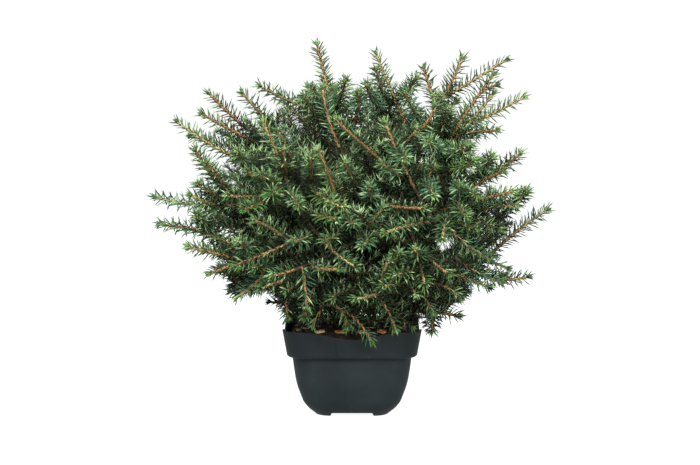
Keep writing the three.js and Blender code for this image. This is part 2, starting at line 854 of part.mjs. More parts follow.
function named(name, geometry, material) {
  const mesh = new THREE.Mesh(geometry, material);
  mesh.name = name;
  return mesh;
}

function numbered(name, index) {
  return `${name}_${String(index + 1).padStart(2, '0')}`;
}

function chipMesh([x, y, length, width, turn], index) {
  const chip = named(numbered('bark_chip', index), chipGeometry(length, width, seededRandom(index)), CHIP);
  const { height, tilt } = soilFront(-y);
  chip.position.set(x, y - CLEARANCE * Math.sin(tilt), height + CLEARANCE * Math.cos(tilt));
  chip.rotation.set(tilt, 0, radians(turn));
  return chip;
}

const plant = new THREE.Group();
const crown = growCrown();
plant.add(named('pot', potGeometry(), POT_PLASTIC));
plant.add(named('soil', soilGeometry(), SOIL));
CHIPS.forEach((chip, index) => plant.add(chipMesh(chip, index)));
plant.add(named('trunk', trunkGeometry(crown.trunk, 0), BARK));
const trunkRoom = toManifold(trunkGeometry(crown.trunk, CLEARANCE));
crown.masses.slice(0, BOUGH_COUNT).forEach((mass, index) => {
  plant.add(named(numbered('bough', index), boughGeometry(mass, index, trunkRoom), BARK));
});
crown.masses.forEach((mass, index) => {
  const name = index < BOUGH_COUNT ? numbered('foliage', index) : 'foliage_leader';
  plant.add(named(name, massGeometry(crown, index), FOLIAGE));
});

export default plant;
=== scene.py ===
"""Dwarf Serbian spruce in a square nursery pot: its looks, grown on from the solids.

Lengths are worked out in millimetres and turned into metres where a mesh is made.
"""
import itertools
import math

import bpy
import numpy as np
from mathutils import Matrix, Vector


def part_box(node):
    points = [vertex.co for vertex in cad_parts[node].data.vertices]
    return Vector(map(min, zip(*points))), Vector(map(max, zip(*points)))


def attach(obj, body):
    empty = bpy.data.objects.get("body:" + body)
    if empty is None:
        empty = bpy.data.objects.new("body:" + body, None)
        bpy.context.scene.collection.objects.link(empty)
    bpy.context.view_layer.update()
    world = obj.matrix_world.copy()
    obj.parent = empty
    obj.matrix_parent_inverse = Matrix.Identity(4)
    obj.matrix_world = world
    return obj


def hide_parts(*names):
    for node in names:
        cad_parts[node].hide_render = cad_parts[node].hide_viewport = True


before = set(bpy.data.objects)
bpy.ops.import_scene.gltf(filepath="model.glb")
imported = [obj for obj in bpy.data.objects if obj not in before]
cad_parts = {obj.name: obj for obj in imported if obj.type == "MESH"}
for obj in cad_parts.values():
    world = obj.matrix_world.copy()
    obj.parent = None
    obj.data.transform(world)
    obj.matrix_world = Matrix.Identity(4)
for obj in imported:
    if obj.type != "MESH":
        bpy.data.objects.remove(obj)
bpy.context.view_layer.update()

MM = 0.001
TAU = 2 * math.pi
UP = np.array([0.0, 0.0, 1.0])
ACROSS = np.array([1.0, 0.0, 0.0])

# Pot
POT_HEIGHT = 112.5
POT_WALL = 1.8
FOOT_HEIGHT = 4
FOOT_WIDTH = 12
FOOT_HALF = 45.5
FOOT_CORNER = 17.5
FOOT_BEVEL = 1
NOTCH_FLANK = 2.2
SCALLOP_DEPTH = 9.2
SCALLOP_HALF_WIDTH = 60
CORNER_POINTS = 10
SHARP_ANGLE = math.radians(38)

# Grooves beside the collar's middle panel, as shares of the side's flat
GROOVE_SHARE = 0.38
GROOVE_STEPS = np.array([-0.034, -0.012, 0.012, 0.034])
GROOVE_DEPTH = 0.9
GROOVE_FADE = 6
SIDE_SHARES = np.sort(np.concatenate([
    np.linspace(-1, 1, 25), GROOVE_SHARE + GROOVE_STEPS, -GROOVE_SHARE - GROOVE_STEPS,
]))

# Pot levels: height, half width and corner radius of the outside
BODY_LEVELS = [
    (4.6, 50.5, 21), (10, 56, 22.5), (18, 61.6, 24), (27, 65.1, 25.5), (42, 70, 27), (60, 73.2, 28.3),
    (77, 75.3, 29),
]
BODY_STEPS = 4
COLLAR_FOOT = (78, 79.9, 29)
COLLAR_LEVEL = (81, 82.2, 29.5)
RIM_LEVEL = (POT_HEIGHT, 87.5, 30)
FLOOR_LEVEL = (FOOT_HEIGHT + POT_WALL, 47, 18.5)

# Collar: shares of the step outwards and up on its underside, shares of the turn upwards, then its face
COLLAR_UNDERSIDE = [(0.1, 0.5), (0.35, 0.7), (0.8, 0.75)]
COLLAR_TURN = [0, 0.3, 0.7]
COLLAR_RINGS = 8
RIM_EDGE = 0.8

# Lip of the rim: half width, corner radius and depth below the top, then the wall's inside
RIM_INSIDE = RIM_LEVEL[1] - POT_WALL
RIM_LIP = [
    (RIM_LEVEL[1], 30, 0.35), (RIM_LEVEL[1] - 0.25, 29.8, 0),
    (RIM_INSIDE + 0.3, 28.6, 0), (RIM_INSIDE, 28.3, 0.4),
]
WALL_SHARES = np.linspace(0.1, 1, 7)
WALL_CORNER = 28.2
INSIDE_STEPS = 2

# Soil mound: share of the inner width, height; then its lumps and grains
SOIL_TOP = 117
SOIL_LEVELS = [(0.985, 99), (0.9, 106), (0.72, 112), (0.45, 115.5), (0.25, SOIL_TOP)]
SOIL_SHARES = np.linspace(0.985, 0.03, 44)
SOIL_LUMP_SIZE = 9
SOIL_LUMP_HEIGHT = 2.6
SOIL_GRAIN_SIZE = 3
SOIL_GRAIN_HEIGHT = 1.5
SOIL_EDGE_CALM = 8

# Trunk
TRUNK_ROOT_RADIUS = 15
TRUNK_RADIUS = 9.5
TRUNK_TIP_RADIUS = 3
TRUNK_FLARE_HEIGHT = 5.6
TRUNK_SHARE = 0.5
TRUNK_FOOT = (0, 0, 117.3)
TRUNK_BEND = (-2, 0, 300)
LEADER_TIP = (-44, 0, 468)

# Boughs and masses
CLEARANCE = 0.3
BOUGH_COUNT = 24
FIRST_AZIMUTH = 200
GOLDEN_ANGLE = 137.508
LOWEST_RISE = 3
HIGHEST_RISE = 74
REACH_LEAST = 84
REACH_GAIN = 266
REACH_FADE = 23
REACH_SPREAD = 0.05
ARCH = 0.06
BOUGH_SHARE = 0.31
BOUGH_ROOT_RADIUS = 4.4
BOUGH_TIP_RADIUS = 2.3
TOP_BOUGH_THINNING = 0.3
BOUGH_TAPER = 1.3
LOWEST_FORK = 127
HIGHEST_FORK = 262

# Tips of shoots that have their own places: on the outline, in the crown, at its front and behind
OUTLINE_TIPS = [
    (229, -30, 170), (251, 12, 258), (216, -16, 329), (218, 20, 403), (196, -8, 452),
    (143, 30, 451), (87, -26, 438), (45, 24, 396), (-120, -18, 411), (-182, 22, 404),
    (-198, -34, 376), (-224, 10, 373), (-252, 14, 270), (-245, -30, 238), (-212, 34, 207),
    (-151, -20, 142),
]
CROWN_TIPS = [
    (-188, 10, 177), (221, -70, 280), (-200, 20, 337), (150, -60, 395), (60, -70, 425),
    (-156, -80, 356), (122, 70, 382), (150, 40, 420), (0, -80, 405), (176, -50, 165),
    (-208, 40, 352), (-130, -70, 388), (110, -70, 400), (170, -60, 400),
]
FRONT_TIPS = [
    (52, -126, 116), (24, -122, 112), (-8, -190, 170), (38, -222, 205), (-98, -226, 245),
    (142, -205, 243), (98, -98, 117), (60, -150, 160), (10, -130, 135), (30, -165, 235),
    (52, -150, 190), (8, -160, 205), (64, -170, 225), (20, -110, 170), (-30, -190, 290),
    (-60, -200, 262), (0, -150, 325), (-45, -130, 345),
]
BACK_TIPS = [(40, 234, 250), (-30, 226, 215)]
SNAP_ANGLE = 15

# Gaps of sky through the whole crown: place across, height, radius
SKY_GAPS = [
    (68, 398, 13), (186, 300, 17), (182, 338, 15), (210, 302, 12), (223, 233, 12), (220, 195, 11),
    (164, 144, 15), (132, 118, 13), (6, 436, 18), (-20, 452, 12), (-61, 434, 16), (-97, 430, 18),
    (-212, 300, 14), (-215, 256, 11), (-225, 218, 11), (-207, 190, 11), (-173, 155, 11), (-138, 126, 15),
]

# Side shoots: places of the whorls along a stem, then lengths, turns and room
WHORLS = [0.07, 0.36, 0.66]
WHORL_SHOOTS = 3
SIDE_SHOOT_LENGTH = 112
SIDE_SHOOT_FADE = 0.5
FORK_ANGLE = math.radians(43)
FORWARD_BEND = 0.42
LENGTH_TRIES = [1, 0.84, 0.7, 0.56, 0.44]
SHORTEST_SHOOT = 30
SHOOT_SPACING = 10
PARENT_SPACING = 9
SHOOT_ROOM = 9
INNER_REACH = 0.97
TESTED_PLACES = np.array([0.4, 0.6, 0.8, 1])
SHOOT_SAMPLES = 24
TURN_SPREAD = 0.5
LENGTH_LEAST = 0.85
LENGTH_SPREAD = 0.25
CELL_MARGIN = 6
NAMED_SHOOT_ARCH = 0.08
LONGEST_NAMED_SHOOT = 170
LOWEST_DROOP = 97
NAMED_WHORLS = (1, 0, 2)

# Draws and samples of the growth rule
SEED = 20
DRAW_STEP = 0x6D2B79F5
WORD = 0xFFFFFFFF
AXIS_SAMPLES = 40
LENGTH_SAMPLES = 201
STEEP_LIMB = 0.9
CROWN_FOOT = np.array([0.0, 0.0, 113.0])

# The photograph's camera, in millimetres and pixels
FRAME_SIZE = (700, 465)
FOCAL_PIXELS = 1562
CAMERA_PLACE = np.array([-2.6, -2000.0, 392.0])
CAMERA_PITCH = math.atan2(164, 2000)
FRAME_SHIFT = 1.3
SENSOR_WIDTH = 36
CLIP_RANGE = (0.1, 100)
RAY_STEPS = np.arange(1650, 2350, 2)

# Shoots that stand out on the crown's front: pixel of the tip, pixel of the foot
SHOWN_SHOOTS = [
    (333, 116, 380, 160), (261, 118, 288, 172), (277, 128, 296, 158), (283, 147, 287, 172),
    (237, 150, 246, 168), (309, 154, 316, 180), (317, 146, 336, 187), (245, 170, 270, 182),
    (276, 190, 266, 197), (225, 195, 258, 196), (241, 209, 264, 203), (346, 207, 316, 197),
    (355, 224, 343, 217), (380, 162, 406, 177), (368, 184, 374, 204), (384, 232, 424, 217),
    (196, 182, 224, 203), (258, 84, 306, 110), (240, 90, 269, 120), (207, 90, 236, 120),
    (199, 111, 240, 135), (175, 119, 232, 162), (194, 147, 218, 184), (375, 50, 400, 112),
    (346, 78, 338, 106), (423, 64, 432, 96), (417, 76, 406, 94), (464, 54, 447, 92),
    (509, 57, 446, 96), (495, 71, 454, 127), (495, 90, 458, 138), (500, 83, 480, 90), (527, 94, 480, 120),
    (499, 129, 466, 132), (467, 144, 449, 155), (427, 139, 438, 150), (404, 91, 421, 122),
    (384, 118, 408, 182), (522, 151, 498, 172), (492, 154, 480, 174), (474, 159, 456, 173),
    (505, 169, 473, 182), (527, 189, 512, 206), (477, 195, 460, 189), (456, 182, 464, 195),
    (550, 207, 506, 235), (466, 217, 455, 205), (442, 240, 446, 213), (426, 207, 390, 207),
    (517, 206, 486, 201), (510, 269, 454, 241), (503, 282, 469, 270), (531, 275, 503, 282),
    (463, 299, 444, 280), (426, 287, 419, 260), (417, 295, 410, 283), (353, 299, 379, 292),
    (389, 258, 378, 281), (414, 247, 421, 257), (358, 267, 315, 243), (450, 274, 434, 262),
    (392, 275, 414, 269), (382, 286, 399, 280), (153, 195, 226, 215), (158, 223, 227, 229),
    (196, 213, 210, 226), (185, 245, 227, 255), (207, 273, 232, 265), (234, 298, 267, 276),
    (230, 266, 281, 247), (252, 218, 276, 228), (269, 275, 302, 270), (284, 291, 299, 284),
    (331, 298, 339, 290), (291, 240, 308, 239), (324, 241, 340, 233), (237, 239, 252, 249),
    (338, 219, 319, 213), (340, 268, 312, 269), (400, 250, 392, 262), (362, 246, 372, 236),
    (299, 206, 292, 194), (434, 196, 428, 178), (344, 160, 352, 178), (404, 158, 398, 142),
    (376, 67, 384, 100), (366, 82, 374, 110), (358, 91, 363, 118), (312, 86, 322, 112),
    (304, 94, 314, 118), (472, 144, 456, 160), (205, 160, 228, 186), (450, 108, 438, 132),
    (437, 94, 446, 118), (438, 103, 415, 142), (492, 287, 458, 274), (258, 289, 280, 278),
    (188, 193, 222, 208), (322, 84, 330, 142), (307, 309, 303, 262),
]
SHOWN_TIP_SHARE = 0.99
SHOWN_FOOT_SHARE = 0.8
SHOWN_LONGEST_ROOT = 120
SHOWN_SETBACK = 5
SHOWN_LEAFY = 1.1
BEHIND_WORTH = 0.8
SKY_ROOM = 7
GAP_ROOM = 3
TWIN_PIXELS = 12
TWIN_DEPTH = 150
TWIN_STEM_SHARE = 0.7
SHOWN_GUARD = 6
GUARD_DEPTH = 4
SHOWN_MARKS = np.linspace(0, 1, 12)[:, None]
GUARDED_PLACES = np.linspace(0.25, 1, 12)

# Shoots that hang at the rim's front: pixel of the tip, pixel of the foot, distance in front of the trunk
HUNG_SHOOTS = [
    (305, 315, 310, 283, 125), (313, 323, 323, 304, 112), (348, 325, 343, 300, 118),
    (371, 339, 355, 312, 121), (395, 327, 383, 292, 128), (287, 316, 285, 296, 96), (432, 311, 425, 292, 98),
]

# Places where the photograph shows sky between the shoots: pixel across, pixel down, radius
SHOWN_SKY = [
    (280, 71, 9), (295, 76, 8), (306, 80, 6), (334, 57, 8), (346, 72, 4), (360, 65, 9), (358, 80, 5),
    (406, 65, 9), (404, 82, 4), (444, 70, 8), (447, 88, 4), (478, 50, 8), (507, 78, 8), (510, 113, 7),
    (507, 140, 8), (487, 147, 5), (522, 176, 6), (536, 194, 6), (535, 246, 9), (516, 246, 5), (495, 297, 9),
    (478, 302, 6), (460, 318, 8), (168, 210, 5), (178, 212, 5), (188, 214, 3), (172, 238, 6), (188, 237, 6),
    (200, 237, 4), (194, 262, 7), (209, 261, 5), (180, 262, 10), (214, 286, 8), (222, 282, 2),
    (262, 302, 7), (269, 314, 7), (250, 304, 7), (186, 169, 8), (179, 184, 7), (194, 181, 4),
    (212, 240, 5), (222, 242, 4), (205, 247, 3), (177, 136, 8), (197, 102, 6), (226, 84, 7), (250, 98, 3),
    (514, 158, 4), (443, 243, 2), (430, 108, 3), (290, 86, 6), (300, 86, 4), (268, 103, 2), (271, 302, 5),
    (273, 312, 4), (468, 308, 6), (459, 312, 5), (508, 186, 4), (506, 250, 4), (217, 303, 4), (226, 307, 3),
]

# Dark openings between the front shoots, where nothing grows further out than the crown's inside
DARK_GAPS = [
    (272, 215, 8), (290, 219, 8), (304, 214, 5), (355, 238, 5), (362, 248, 8), (404, 230, 6), (420, 232, 6),
    (334, 272, 6), (350, 278, 7), (362, 190, 5), (357, 307, 8), (370, 308, 7), (412, 312, 7), (292, 318, 6),
    (330, 316, 5), (318, 258, 5), (392, 168, 5), (330, 160, 4), (300, 140, 4), (372, 140, 4),
]
GAP_DEPTH = 0.62

# Finer growth: extra whorls on the stems, laterals on the side shoots, then the empty places
FINE_SEED = 11
FINE_SPACING = 11
FINE_WHORLS = [0.2, 0.5]
FINE_WHORL_SHOOTS = 3
BOUGH_WHORLS = [0.35, 0.7, 0.95]
LATERAL_PLACE = 0.3
LATERAL_LIMB = 60
LATERAL_TURN_SPREAD = 0.9
LIMB_MARKS = 12
ON_LIMB = -1

# Full length of a shoot, its reach as a share of the crown's, and its kind
STEM_GROWTH = (84, 0.93, "fine")
BOUGH_GROWTH = (74, 0.9, "fine")
LATERAL_GROWTH = (62, 0.97, "lateral")

# Filling: share of the crown's reach and number of tries for each layer
FILL_LAYERS = [(0.4, 300), (0.5, 460), (0.6, 600), (0.7, 800), (0.8, 760), (0.88, 640)]
FILL_LOWEST = -0.06
FILL_SPAN = 1.05
FILL_LOOSENESS = 0.1
BARE_FRONT_SHARE = 0.75
FILL_GAP = (8, 11)
FILL_LONGEST = 96
FILL_SHORTEST = 38
FILL_INWARD = 0.55
FILL_SPACING = 0.55 * FINE_SPACING
FILL_TRIES = 6
FILL_ARCH = 0.06
LOW_SHARES = [0.6, 0.8, 1]
LOW_FILL_COUNT = 90
LOW_RISE = 3
LOW_RISE_SPREAD = 9

# Shoots that hang behind the pot's rim
HANGING_COUNT = 40
HANGING_HALF_WIDTH = 76
HANGING_BEHIND = 108
HANGING_LOW = 108
HANGING_SPREAD = 16
HANGING_REACH = 1.4

# Share of each kind of shoot, from its foot, that lies in the crown's shade and gets painted shade on its
# needles and twig
SHADE_SHARE = {"stem": 0.25, "side": 0.3, "shown": 0.3, "hung": 0.3, "fine": 0.3, "lateral": 0.2}

# Looks: colours from dark to light; finishes: scale, roughness, relief, relief's scale, specular level
NEEDLE_FINISH = (60, (0.5, 0.65), 0.1, 1200, 0.12)
NEEDLE_LOOKS = {
    # The first tone is painted shade: the darkest needles, inside the crown, on each shoot's foot and as
    # dark speckles among the outer needles
    "needle_painted_shade": [(0.0022, 0.0044, 0.001), (0.004, 0.009, 0.002), (0.007, 0.014, 0.0034)],
    "needle_mid": [(0.013, 0.024, 0.0055), (0.0155, 0.04, 0.0135), (0.024, 0.056, 0.0215)],
    "needle_blue": [(0.011, 0.032, 0.014), (0.0175, 0.05, 0.026), (0.032, 0.077, 0.043)],
    "needle_green": [(0.024, 0.046, 0.0105), (0.032, 0.074, 0.018), (0.052, 0.102, 0.028)],
    "needle_fresh": [(0.046, 0.08, 0.019), (0.062, 0.114, 0.03), (0.092, 0.156, 0.045)],
    # The last tone is the needles' own pale underside, and also a painted highlight on whole needles among
    # the outer sprays
    "needle_underside_and_highlight": [(0.067, 0.112, 0.045), (0.11, 0.167, 0.076), (0.164, 0.226, 0.11)],
}
PAINTED_SHADE, MID, BLUE, GREEN, FRESH, UNDERSIDE_AND_HIGHLIGHT = range(6)
TWIG_FINISH = (90, (0.6, 0.8), 0.5, 700, 0.3)
TWIG_LOOKS = {
    "twig_tan": [(0.1, 0.077, 0.025), (0.146, 0.112, 0.038), (0.205, 0.156, 0.056)],
    "twig_orange": [(0.078, 0.041, 0.012), (0.12, 0.064, 0.019), (0.174, 0.094, 0.03)],
    # Brown darkened as painted shade, for twigs inside the crown and on each shaded foot
    "twig_brown_in_shade": [(0.016, 0.01, 0.005), (0.028, 0.017, 0.008), (0.05, 0.03, 0.014)],
    "bud_brown": [(0.09, 0.042, 0.017), (0.13, 0.062, 0.024), (0.18, 0.088, 0.034)],
}
TAN, ORANGE, BROWN_IN_SHADE, BUD = range(4)
LOOKS = {
    "trunk_bark": (
        [(0.06, 0.035, 0.022), (0.12, 0.07, 0.042), (0.2, 0.13, 0.085)],
        120, (0.75, 0.92), 0.8, 600, 0.2,
    ),
    "bough_bark": (
        [(0.09, 0.046, 0.022), (0.16, 0.08, 0.036), (0.24, 0.13, 0.06)],
        150, (0.7, 0.9), 0.8, 700, 0.25,
    ),
    "pot_plastic": (
        [(0.0023, 0.004, 0.0044), (0.0034, 0.0056, 0.0062), (0.005, 0.0077, 0.0084)],
        14, (0.55, 0.7), 0.3, 600, 0.115,
    ),
    "soil": (
        [(0.004, 0.003, 0.0022), (0.008, 0.0055, 0.004), (0.015, 0.01, 0.007)],
        160, (0.85, 0.98), 1, 500, 0.15,
    ),
    "peat_crumb": (
        [(0.009, 0.0055, 0.0035), (0.017, 0.01, 0.0065), (0.028, 0.017, 0.01)],
        200, (0.85, 0.98), 0.8, 900, 0.15,
    ),
    "bark_shred": (
        [(0.05, 0.024, 0.01), (0.09, 0.043, 0.018), (0.15, 0.078, 0.034)],
        200, (0.75, 0.9), 0.8, 900, 0.2,
    ),
    "pale_shred": (
        [(0.13, 0.085, 0.045), (0.19, 0.13, 0.075), (0.26, 0.19, 0.115)],
        200, (0.75, 0.9), 0.8, 900, 0.2,
    ),
    "chip_pale": (
        [(0.22, 0.15, 0.075), (0.31, 0.22, 0.12), (0.4, 0.29, 0.17)],
        140, (0.75, 0.9), 1, 600, 0.2,
    ),
    "chip_orange": (
        [(0.15, 0.062, 0.022), (0.24, 0.105, 0.038), (0.33, 0.16, 0.065)],
        140, (0.75, 0.9), 1, 600, 0.2,
    ),
    "floor": (
        [(0.088, 0.09, 0.092), (0.092, 0.094, 0.096), (0.096, 0.098, 0.1)],
        1.5, (0.8, 0.9), 0.02, 40, 0.02,
    ),
}
RAMP_SPAN = (0.34, 0.66)
ROUGHNESS_FINENESS = 2.3
RELIEF_DISTANCE = 0.0006
NOISE_DETAIL = 4

# Needles: form, spacing, angles in degrees and how these spread
NEEDLE_LENGTH = 16.5
NEEDLE_WIDTH = 2.1
NEEDLE_THICKNESS = 1.45
NEEDLE_ROOT_SHARE = 0.7
NEEDLE_SHOULDER = 0.66
NEEDLE_BEND = 2
OUTER_SPACING = 0.84
INNER_SPACING = 0.95
LEAST_NEEDLES = 12
SLIM_OUTER = 0.85
NEEDLE_ANGLE = 62
TIP_NEEDLE_ANGLE = 30
TIP_CLOSING = 14
END_LENGTH = 0.82
MIDDLE_LENGTH = 0.18
ANGLE_SPREAD = 6
NEEDLE_LENGTH_SPREAD = 0.09
NEEDLE_WIDTH_SPREAD = 0.08
COMB_ABOVE = 0.1
COMB_BELOW = 0.6
COMB_UPRIGHT = 0.95
COMB_TURN = 0.45
STEEP_NEEDLE = 0.93
STEEP_SHOOT = 0.97
BARE_ROOT = 7
OUTER_KINDS = ("shown", "stem", "side")
OUTER_SHARE = 0.8

# Needles round the bud: least and spread of their angles and of their lengths
TUFT_NEEDLES = 14
TUFT_ANGLES = (12, 38)
TUFT_LENGTHS = (0.38, 0.24)
TUFT_DEPTH = 1.5
TUFT_WIDTH = 0.9

# Faces of a needle of seven points and of a plain one of four, and the ones on its underside
NEEDLE_FACES = np.array([
    (0, 1, 4), (0, 4, 3), (1, 2, 5), (1, 5, 4), (2, 0, 3), (2, 3, 5),
    (3, 4, 6), (4, 5, 6), (5, 3, 6), (2, 1, 0),
])
NEEDLE_UNDERSIDE = [0, 1]
PLAIN_NEEDLE_FACES = np.array([(0, 1, 3), (1, 2, 3), (2, 0, 3), (2, 1, 0)])
PLAIN_NEEDLE_UNDERSIDE = [0]
PLAIN_NEEDLE_POINTS = [0, 1, 2, 6]
PLAIN_ROOT_WIDENING = 1.5
MOST_PIECE_FACES = 190000

# Tone of a whole spray: for each depth up to a limit, the limits of a draw for each tone; the dark tone is
# painted shade, which the sprays deep in the crown take most
SPRAY_TONES = [
    (0.6, [(1, PAINTED_SHADE)]),
    (0.78, [(0.7, PAINTED_SHADE), (1, MID)]),
    (math.inf, [(0.42, MID), (0.74, BLUE), (0.9, GREEN), (1, PAINTED_SHADE)]),
]

# Shade of hidden shoots, of low ones and of each foot
HIDDEN_SHADE = 0.1
LOW_SHADE = 0.4
SHADE_TOP = 240
SHADED_FOOT = 0.3

# Depths from which the needles differ more, share of the twig that is fresh, and limits of the draws
INSIDE_DEPTH = 0.6
MIDDLE_DEPTH = 0.7
SPECKLED_DEPTH = 0.75
FRESH_DEPTH = 0.8
FRESH_FROM = 0.92
INNER_FRESH_FROM = 0.97
FRESH_SPRAYS = 0.25
FRESH_BELOW = 0.56
# Draws from DARK_FROM to PALE_FROM give needles painted shade, and draws from PALE_FROM to STRAY_FROM give a
# painted highlight
DARK_FROM = 0.58
PALE_FROM = 0.77
STRAY_FROM = 0.9

# Twigs: radius at the root and at the tip for each kind
TWIG_RADII = {
    "shown": (2.5, 1.6), "hung": (2.5, 1.6), "side": (2.1, 1.3), "fine": (1.6, 1.3),
    "lateral": (1.6, 1.3),
}
LEADER_ROOT_RADIUS = 2.7
STEM_TIP_RADIUS = 1.6
STEM_TAPER = 1.2
TWIG_SIDES = 5
LEAST_TWIG_RINGS = 5
TWIG_STEP = 5.2
TWIG_RELIEF = 0.2
TWIG_ROUGHNESS = 0.06
TAN_TWIGS = 0.35

# Bud: its bend, end and point beyond the twig's tip, then places along it with their radii
BUD_BEND = 2
BUD_END = 4.4
BUD_POINT = 0.9
BUD_PLACES = np.array([-0.25, 0.25, 0.7])
BUD_RADII = [1.2, 1.6, 0.8]

# Bark: rings, sides, size of the plates and depth of the relief
TRUNK_BARK = (110, 44, 5, 0.09)
BOUGH_BARK = (34, 12, 3, 0.12)
TRUNK_RING_SPREAD = 1.15
TRUNK_SKIN = 0.985
PLATE_SHAPE = np.array([1, 1, 1.7])
CRACK_SIZE = 0.8
CRACK_DEPTH = 0.9
CRACK_SHARPNESS = 22
GRAIN_SIZE = 0.3
GRAIN_DEPTH = 0.45

# Crumbs and shreds on the soil
SOIL_INSET = POT_WALL + CLEARANCE
SOIL_SPAN = 0.95
SOIL_CORNERS = 1.72
TRUNK_ROOM = 19
CRUMB_LOOKS = ["soil", "peat_crumb", "bark_shred", "pale_shred"]
CRUMB_COUNT = 1500
CRUMB_LEAST = 0.8
CRUMB_SPREAD = 1.7
CRUMB_SHAPE = np.array([1, 0.8, 0.7])
CRUMB_TILT = 0.5
DARK_CRUMBS = 0.75
SHRED_COUNT = 150
SHRED_LEAST = 2.5
SHRED_SPREAD = 3.5
SHRED_WIDTH = 0.4
SHRED_THICKNESS = 0.8
SHRED_TILT = 0.3
DARK_SHREDS = 0.6
LUMP_ROUGHNESS = 0.22
LUMP_EDGE = 2.1

# Bark chips: turn in degrees, length and width of each; height and share of the width of each ring
CHIPS = [(22, 14, 7), (-8, 17, 8), (18, 13, 7), (-24, 14, 8)]
CHIP_RINGS = [(-1.2, 0.84), (-0.9, 0.93), (-0.2, 0.98), (0.5, 0.96), (1, 0.9), (1.25, 0.8), (1.3, 0.5)]
CHIP_MIDDLES = [[0, 0, -1.2], [0, 0, 1.4]]
CHIP_SIDES = 45
CHIP_THICKNESS = 3
CHIP_RAGGEDNESS = 0.1
CHIP_RAG_REACH = 3
CHIP_SQUARENESS = 0.6
CHIP_FIT = 0.86
CHIP_WAVE = 0.3
CHIP_WAVE_STEP = 0.9

# Factors of the lattice noise
CELL_PRIMES = np.array([73856093, 19349663, 83492791])
SEED_PRIME = 2654435761
MIX_PRIME = 1274126177
VALUE_BITS = 0xFFFFFF

# Studio, in metres: name, place, aim, size and power of each light
LIGHTS = [
    ("key", (-0.8, -2.3, 2.0), (0, 0, 0.25), 0.9, 262),
    ("front", (0.5, -2.7, 0.9), (0, 0, 0.1), 1.6, 118),
    ("fill", (2.0, -1.5, 1.4), (0, 0, 0.25), 1.8, 52),
    ("back", (-0.6, 2.4, 1.5), (0, 0, 0.25), 1.6, 80),
    ("top", (0.2, 0.3, 2.4), (0, 0, 0.2), 1.6, 60),
]
WORLD_STRENGTH = 1.02
FLOOR_HALF = 6.0
# The floor's glow and its tint are painted light, which washes out the shadows on the floor
FLOOR_GLOW = 0.94
FLOOR_TINT = (0.96, 1, 1, 1)

random = np.random.default_rng(FINE_SEED)


# The rule that grows the solids, written again

def seeded_random(seed):
    """The draws between 0 and 1 that the solids' rule makes from a seed."""
    state = seed

    def draw():
        nonlocal state
        state = (state + DRAW_STEP) & WORD
        mixed = ((state ^ (state >> 15)) * (1 | state)) & WORD
        mixed = ((mixed + (mixed ^ (mixed >> 7)) * (61 | mixed)) ^ mixed) & WORD
        return (mixed ^ (mixed >> 14)) / (WORD + 1)

    return draw


def unit(vectors):
    return vectors / np.linalg.norm(vectors, axis=-1, keepdims=True)


class Curve:
    """Quadratic curve of one limb."""

    def __init__(self, start, bend, end):
        self.start, self.bend, self.end = (np.array(point, float) for point in (start, bend, end))

    def point(self, place):
        t = np.asarray(place, float)[..., None]
        return (1 - t) ** 2 * self.start + 2 * (1 - t) * t * self.bend + t**2 * self.end

    def tangent(self, place):
        t = np.asarray(place, float)[..., None]
        return unit((1 - t) * (self.bend - self.start) + t * (self.end - self.bend))

    def length(self):
        points = self.point(np.linspace(0, 1, LENGTH_SAMPLES))
        return np.linalg.norm(np.diff(points, axis=0), axis=1).sum()


def sideways(direction):
    """A way across a direction, upwards unless that is steep."""
    helper = UP if abs(direction[2]) < STEEP_LIMB else ACROSS
    return unit(helper - helper.dot(direction) * direction)


def reach_at(rise):
    return REACH_LEAST + REACH_GAIN * (1 - np.exp(-np.maximum(rise, 0) / REACH_FADE))


def direction_of(azimuth, rise):
    flat = math.cos(math.radians(rise))
    turn = math.radians(azimuth)
    return np.array([flat * math.cos(turn), flat * math.sin(turn), math.sin(math.radians(rise))])


def spread_tips(draw):
    lowest = math.sin(math.radians(LOWEST_RISE))
    highest = math.sin(math.radians(HIGHEST_RISE))
    tips = []
    for index in range(BOUGH_COUNT):
        height = lowest + (highest - lowest) * (index + 0.5) / BOUGH_COUNT
        rise = math.degrees(math.asin(height))
        reach = reach_at(rise) * (1 - REACH_SPREAD * draw())
        tips.append(CROWN_FOOT + reach * direction_of(FIRST_AZIMUTH + index * GOLDEN_ANGLE, rise))
    return tips


def snap_tips(tips):
    taken, left = set(), []
    for tip in OUTLINE_TIPS:
        aim = unit(np.array(tip, float) - CROWN_FOOT)
        arms = unit(np.array(tips) - CROWN_FOOT)
        angles = np.degrees(np.arccos(np.clip(arms @ aim, -1, 1)))
        angles[list(taken)] = 180
        closest = int(angles.argmin())
        if angles[closest] < SNAP_ANGLE:
            tips[closest] = np.array(tip, float)
            taken.add(closest)
        else:
            left.append(tip)
    return left


def arched_curve(start, tip, arch):
    chord = tip - start
    length = np.linalg.norm(chord)
    chord = chord / length
    lift = UP - UP.dot(chord) * chord
    return Curve(start, (start + tip) / 2 + arch * length * lift, tip)


def bough_curve(trunk, tip, order):
    height = LOWEST_FORK + (HIGHEST_FORK - LOWEST_FORK) * order / (BOUGH_COUNT - 1)
    start = trunk.point((height - SOIL_TOP) / (LEADER_TIP[2] - SOIL_TOP))
    start[2] = height
    return arched_curve(start, tip, ARCH)


def gap_to(points, samples):
    """Distance from each point to the nearest of the samples."""
    apart = points[:, None, :] - samples[None, :, :]
    return np.sqrt((apart**2).sum(-1).min(1))


def over_pot(points, room):
    half = RIM_LEVEL[1] + room
    inside = (abs(points[:, 0]) < half) & (abs(points[:, 1]) < half)
    return np.where(inside, points[:, 2] > SOIL_TOP + room, points[:, 2] > LOWEST_DROOP + room)


def in_sky_gap(points):
    return np.any([np.hypot(points[:, 0] - x, points[:, 2] - z) < r for x, z, r in SKY_GAPS], axis=0)


